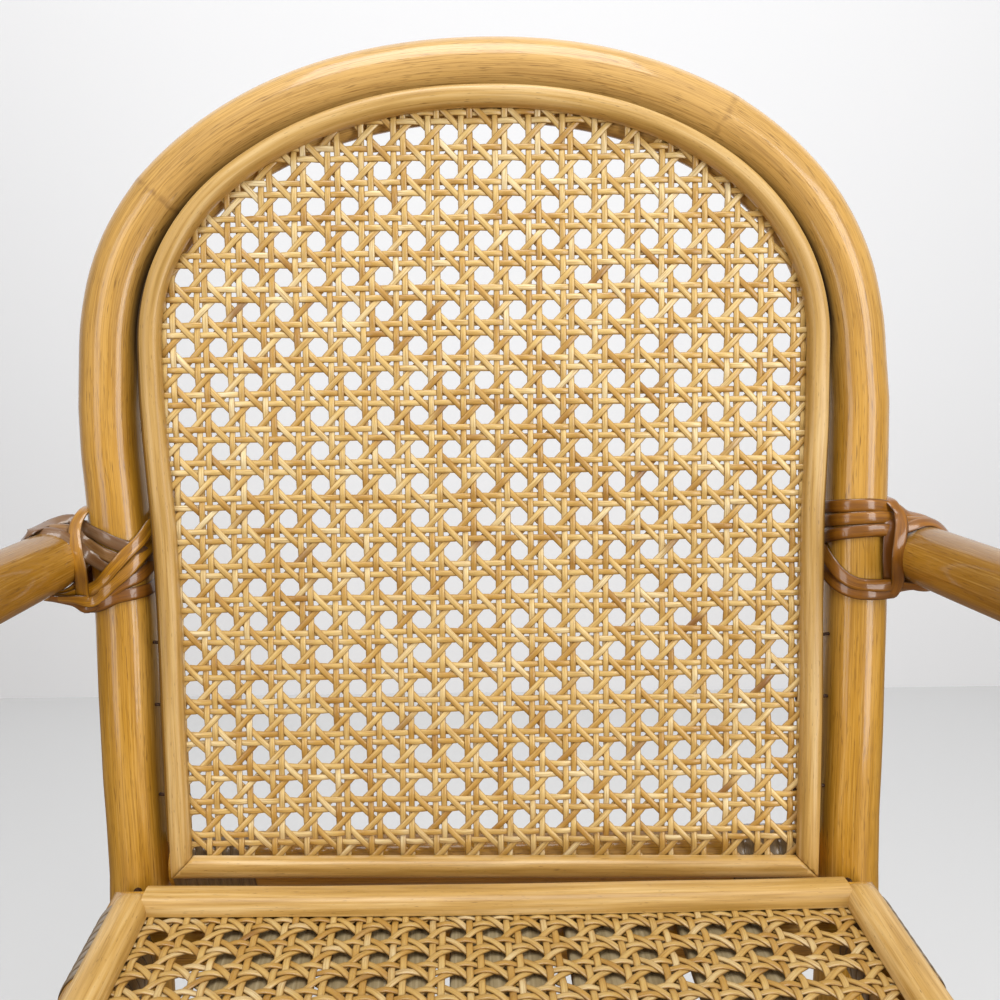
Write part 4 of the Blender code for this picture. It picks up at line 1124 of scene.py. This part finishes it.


# The strips that lash each arm to its post: a tone, the least lift in mm over the poles, and
# places in mm from the post's middle at the arm: outwards, up the post, and forward. The fill
# lies behind the others and closes the crease between arm and post, as inner turns would; in
# the darkest tone it also stands in for the shade in that crease, as painted shade.
LASHINGS = {
    "left_lashing": [
        (1.0, 1.0, ((31, -9, 13), (35.4, 1, 13.5), (33, 9, 15), (29.3, 12.6, 19), (27, 14, 15),
            (24, 15.6, 9), (18.5, 16.6, 6), (12.3, 12.9, 7.8), (5.3, 10.3, 11.6),
            (-0.7, 7.5, 12.8), (-5.4, 5.7, 11.6), (-9.5, 3.5, 8.6), (-12.7, 1, 1), (-9, -1, -9))),
        (0.96, 1.0, ((31.5, -8.5, 11), (35.3, 1, 11.5), (32, 9.5, 13), (27.5, 12.8, 16),
            (22, 13.6, 13), (16.8, 12.5, 10), (11.4, 7.6, 9.2), (5.5, 4.2, 11.7),
            (-0.5, 1.7, 12.8), (-3.2, 0.5, 12.4))),
        (1.0, 0.8, ((31.5, -8.5, 10), (35.3, 1, 10.5), (31, 10, 13), (25.5, 12.4, 17),
            (20.5, 11.6, 17), (14.8, 8.9, 15.5), (10.1, 2.6, 11.5), (5.7, -0.3, 11.9),
            (1, -3.2, 12.8))),
        (0.25, 0.5, ((24, -13, 15), (18, -15, 11), (13, -17.6, 8), (9.9, -16.8, 9),
            (2.5, -11.7, 12.7), (-3.3, -8, 12.4), (-8.3, -5.8, 9.7), (-11.6, -2.5, 5.4),
            (-12.8, 1.5, 0), (-9, 4, -9))),
        (0.15, 0.5, ((18, -16, 6), (12, -17.5, 6.5), (5.5, -16, 11.7), (-0.8, -13.2, 12.8),
            (-6.6, -12.2, 11), (-11.5, -11, 5.6), (-12.6, -9, -2.4))),
        (0.78, 1.2, ((35.3, 0, 14), (33.5, -8, 14), (28, -12.6, 14), (22.5, -13.6, 13.5),
            (18, -14, 13), (14.5, -14.2, 12.5), (10, -15, 10.5), (6.2, -13.3, 11.6),
            (0.4, -7.8, 12.8), (-4.6, -3.5, 12), (-9, 1.9, 9.1), (-11.8, 6, 5.1), (-12.8, 9, 1.5),
            (-12.6, 12, -3), (-8, 14, -10.5))),
        (0.8, 1.6, ((35.3, 1, 9), (33.5, -7, 9), (28, -12, 9.5), (22.5, -12.8, 10.5),
            (18, -12.4, 11.5), (15.2, -11.6, 11.6), (12.4, -11.3, 10.8), (6, -8.2, 12),
            (0.2, -2.1, 13.4), (-4.7, 3.5, 12.4), (-9.1, 8.3, 9.4), (-12.1, 14.3, 4.4),
            (-12.9, 17, -2), (-8, 20, -10.5))),
        (0.6, 0.3, ((32, -6, 9), (27, -10.6, 10), (21.5, -11.8, 10.5), (17, -10.6, 11),
            (14, -8.4, 11), (12.5, -6, 10))),
    ],
    "left_ring": [
        (0.82, 0, ((8, 17, -13), (10.8, 20.3, -6), (12.4, 21, 1), (13.4, 19.4, 6), (14.7, 16, 9.5),
            (14.2, 11.6, 14), (12, 4.6, 18.4), (10.8, -1.8, 18.8), (11.6, -7.6, 15.3),
            (12.6, -12.6, 11.5), (12.2, -17, 8), (11.2, -19.5, 2), (9.5, -19.5, -6), (8, -16, -13),
            (7.5, -8, -14.5), (7.5, 8, -14.5), (8, 17, -13))),
    ],
    "right_lashing": [
        (0.35, 0.5, ((-9, 16.8, -9), (-12.7, 17.4, 0), (-6.3, 18.6, 11.1), (2.8, 18.8, 12.5),
            (9, 18, 9.5), (14, 16.6, 8), (19, 14.6, 6.5), (24, 13.4, 4.5), (28.5, 11.8, 3),
            (32.5, 8, 2), (35, 0, 2), (33, -7, 2), (28, -11.4, 2))),
        (0.42, 0.5, ((-9, 10.8, -9), (-12.7, 11.8, 0.5), (-6.3, 13.6, 11.2), (2.8, 14.1, 12.6),
            (9, 13.9, 10.2), (13, 13.3, 9), (17, 12.6, 9.5), (22, 12.4, 8.5), (27, 12, 7),
            (32, 8.6, 6), (35.2, 0, 6), (33, -8, 6))),
        (0.3, 0.5, ((-9, 4.6, -9), (-12.8, 5.6, 0.7), (-8.8, 7.8, 9.3), (-0.4, 9, 12.9),
            (7, 9.2, 12), (12.4, 8.9, 11), (16.5, 10.2, 12.5), (21.5, 11.9, 12), (27, 11.6, 10.5),
            (32, 8, 9.5), (35.3, 0, 9.5), (33, -8, 9.5))),
        (0.38, 1.0, ((-9, 5, -9), (-12.8, 2, 0.7), (-11.3, -3.4, 6), (-8.2, -8.4, 9.9),
            (-3.9, -11.2, 12.2), (1.7, -12.1, 12.9), (8, -12.3, 12), (12.6, -12.4, 10.5),
            (16, -12.8, 10.5), (20, -13, 11.5), (25, -12.8, 12), (31, -10, 12), (35, -2, 12))),
        (0.22, 0.5, ((-9, -2, -9), (-12.8, -4.5, 0), (-11.7, -9.2, 5.3), (-8.6, -12.7, 9.5),
            (-3.8, -14.8, 12.2), (2.5, -15.3, 12.7), (8, -15.4, 11), (12.5, -15, 9),
            (17, -14.2, 7), (22, -13.4, 7), (28, -12, 7), (33.5, -6.5, 7), (35.2, 0, 7))),
        (0.2, 0.3, ((32, -6, 8), (27, -10.6, 9), (21.5, -11.8, 9.5), (17, -10.6, 10),
            (14, -8.4, 10), (12.5, -6, 9))),
    ],
    "right_ring": [
        (0.3, 0, ((8, 17, -13), (9.5, 20.6, -4), (10.2, 21.2, 4), (11.4, 19.4, 9.5),
            (13.4, 16, 11), (13.4, 11.6, 13.2), (12.2, 6, 15.2), (11, 0, 16.4), (11.5, -6.1, 15),
            (12.8, -12, 11.5), (11.9, -16.8, 8.5), (10.5, -18.8, 2), (9, -18.8, -6), (8, -16, -13),
            (7.5, -8, -14.5), (7.5, 8, -14.5), (8, 17, -13))),
        # This inner turn's darkest tone is partly painted shade, for its side facing away from the
        # light
        (0.0, 0, ((8, 14, -12), (10, 15.8, -2), (10.5, 15, 7), (10, 11, 11), (9.4, 5, 12),
            (9.2, -1, 12), (9.8, -8, 11.4), (10.5, -13, 8.5), (10, -15.2, 0), (8, -14, -12))),
    ],
}
FILL = [
    (0.0, 0, ((13.5, 15, -3), (14.5, 8, -3), (14.5, 0, -3), (14.5, -8, -3), (13.5, -15, -3))),
    (0.0, 0, ((17, 14, -5), (18, 8, -5), (18, 0, -5), (18, -8, -5), (17, -14, -5))),
]


def lash_arm(side, sign):
    """The strips round an arm's joint with its post, and the ring that holds them together."""
    joint = on_back(sign * HOOP_HALF_WIDTH, LASHING_HEIGHT / math.cos(BACK_RECLINE))
    start = arm_start(sign)
    outward = Vector((sign, 0, 0))
    post = (joint - BACK_UP * 0.1, joint + BACK_UP * 0.1, POLE_RADIUS)
    arm = (start, start + arm_aim(sign) * 0.12, ARM_RADIUS)
    # The ring and the fill touch neither pole: a thin line inside each only turns them outwards
    core = (joint, joint + outward * 0.05, 0.004)
    behind = joint + outward * 0.0155 - BACK_FRONT * 0.04
    rear_core = (behind - BACK_UP * 0.05, behind + BACK_UP * 0.05, 0.004)
    for kind, strips, poles, node, lean in (
            ("lashing", LASHINGS[side + "_lashing"], [post, arm], "arm_binding_", 0.75),
            ("ring", LASHINGS[side + "_ring"], [core], "arm_collar_", 0),
            ("fill", FILL, [rear_core], "arm_binding_", 0)):
        lines = []
        for _, lift, places in strips:
            points = [joint + outward * (o / 1000) + BACK_UP * (u / 1000)
                      + BACK_FRONT * (f / 1000) for o, u, f in places]
            lines.append(peel_line(points, poles, lift / 1000, False, 0.006, BACK_FRONT * lean))
        settle(binding("arm_" + kind + "_" + side, lines, [strip[0] for strip in strips]),
               "peel", node + side)


def make_bindings():
    """The peel at every joint that has any."""
    for side, sign in SIDES:
        lash_arm(side, sign)
        x = sign * SEAT_RAIL_HALF_WIDTH
        cross_rail = (on_cross_rail(-0.14), on_cross_rail(0.14), CROSS_RAIL_RADIUS)
        side_rail = (Vector((x, -0.17, RAIL_Z)), Vector((x, 0.13, RAIL_Z)), RAIL_RADIUS)
        leg = (front_leg_at(sign, 0.2), front_leg_at(sign, 0.34), ARM_RADIUS)
        cross_run = [on_cross_rail(CROSS_WRAP_STARTS[sign]), on_cross_rail(sign * CROSS_WRAP_END)]
        side_run = [(x, y, RAIL_Z) for y in SIDE_WRAP]
        leg_runs = [[front_leg_at(sign, z) for z in run] for run in LEG_WRAPS]
        for name, runs, pole_line, turns, slot in (
                ("cross_rail", [cross_run], cross_rail, 7, "rail_peel"),
                ("side_rail", [side_run], side_rail, 8.5, "rail_peel"),
                ("front_leg", leg_runs, leg, 2, "peel")):
            settle(wrapping(name + "_wrap_" + side, runs, pole_line, turns), slot,
                   name + "_binding_" + side)


def finish_fasteners():
    """The nails and screws keep their solids, but for the cross rail's, which follow the posts."""
    for name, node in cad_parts.items():
        if "nail" in name or "screw" in name:
            node.data.materials.clear()
            node.data.materials.append(FINISHES["steel"])
    for side, sign in SIDES:
        screw = made("cross_rail_screw_" + side + "_shank", bpy.ops.mesh.primitive_cylinder_add,
                     radius=SCREW_RADIUS, depth=SCREW_LENGTH, vertices=24,
                     rotation=(0, math.radians(90), 0), location=on_cross_rail(sign * SCREW_MIDDLE))
        bpy.ops.object.transform_apply()
        smooth(screw)
        settle(screw, "steel", "cross_rail_screw_" + side)


# ---------------------------------------------------------------- room, lamps and camera

def make_room():
    """A pale floor and wall."""
    floor_finish, tree, shader = new_finish("pale_floor", Roughness=0.8)
    # The camera sees it pale, but it throws less light back at the chair, and warmer
    seen = add(tree, "LightPath", output="Is Camera Ray")
    join(tree, shader, Base_Color=add(tree, "Mix", {0: seen, 6: "#75624C", 7: "#D2D2D2"},
                                      **OF_COLOURS))
    wall_finish, tree, shader = new_finish("pale_wall", Roughness=0.9)
    # A little darker towards the ceiling lamp, so that it looks even
    rise = add(tree, "MapRange", [coordinate(tree, "Y"), -2.1, -1.7, 0.0, 1.0])
    join(tree, shader, Base_Color=add(tree, "Mix", {0: rise, 6: "#F8FBFF", 7: "#F3F5F8"},
                                      **OF_COLOURS))
    floor = made("floor", bpy.ops.mesh.primitive_plane_add, size=6, location=(0, -1.5, 0))
    floor.data.materials.append(floor_finish)
    wall = made("wall", bpy.ops.mesh.primitive_plane_add, size=6, location=(0, 1.0, 2.5),
                rotation=(math.radians(90), 0, 0))
    wall.data.materials.append(wall_finish)


def make_lamps():
    """Two tall soft boxes in front leave a gloss line on each pole; a third hangs above."""
    for name, place, size, power in (("left_box", (-0.95, -0.95, 0.70), (0.55, 1.2), 6.5),
                                     ("right_box", (0.90, -0.90, 0.70), (0.60, 1.2), 13),
                                     ("ceiling", (0, -0.3, 2.1), (1.2, 1.2), 28)):
        aim = Vector((0, 0.1, 0.4)) - Vector(place)
        lamp = made(name, bpy.ops.object.light_add, type="AREA", location=place,
                    rotation=aim.to_track_quat("-Z", "Y").to_euler())
        lamp.data.shape = "RECTANGLE"
        lamp.data.size, lamp.data.size_y = size
        lamp.data.energy = power
    world = bpy.context.scene.world or bpy.data.worlds.new("room_light")
    bpy.context.scene.world = world
    world.use_nodes = True
    background = world.node_tree.nodes["Background"]
    background.inputs["Color"].default_value = (1, 1, 1, 1)
    background.inputs["Strength"].default_value = 0.36


def set_camera():
    """Looks down at the back from above the seat, a little turned and tilted."""
    bpy.ops.object.camera_add(location=(-0.01405, -0.2543, 0.52274))
    camera = bpy.context.object
    turn = (Matrix.Rotation(math.radians(-0.373), 3, "Z")
            @ Matrix.Rotation(math.radians(90 - 12.227), 3, "X")
            @ Matrix.Rotation(math.radians(-0.565), 3, "Z"))
    camera.rotation_euler = turn.to_euler()
    camera.data.lens = 37.8
    camera.data.sensor_width = 36
    camera.data.shift_x = 0.04
    camera.data.clip_start = 0.01
    bpy.context.scene.camera = camera


make_back()
make_arms()
make_seat()
make_stretchers()
make_bindings()
finish_fasteners()
make_room()
make_lamps()
set_camera()
bpy.context.scene.view_settings.view_transform = "Standard"
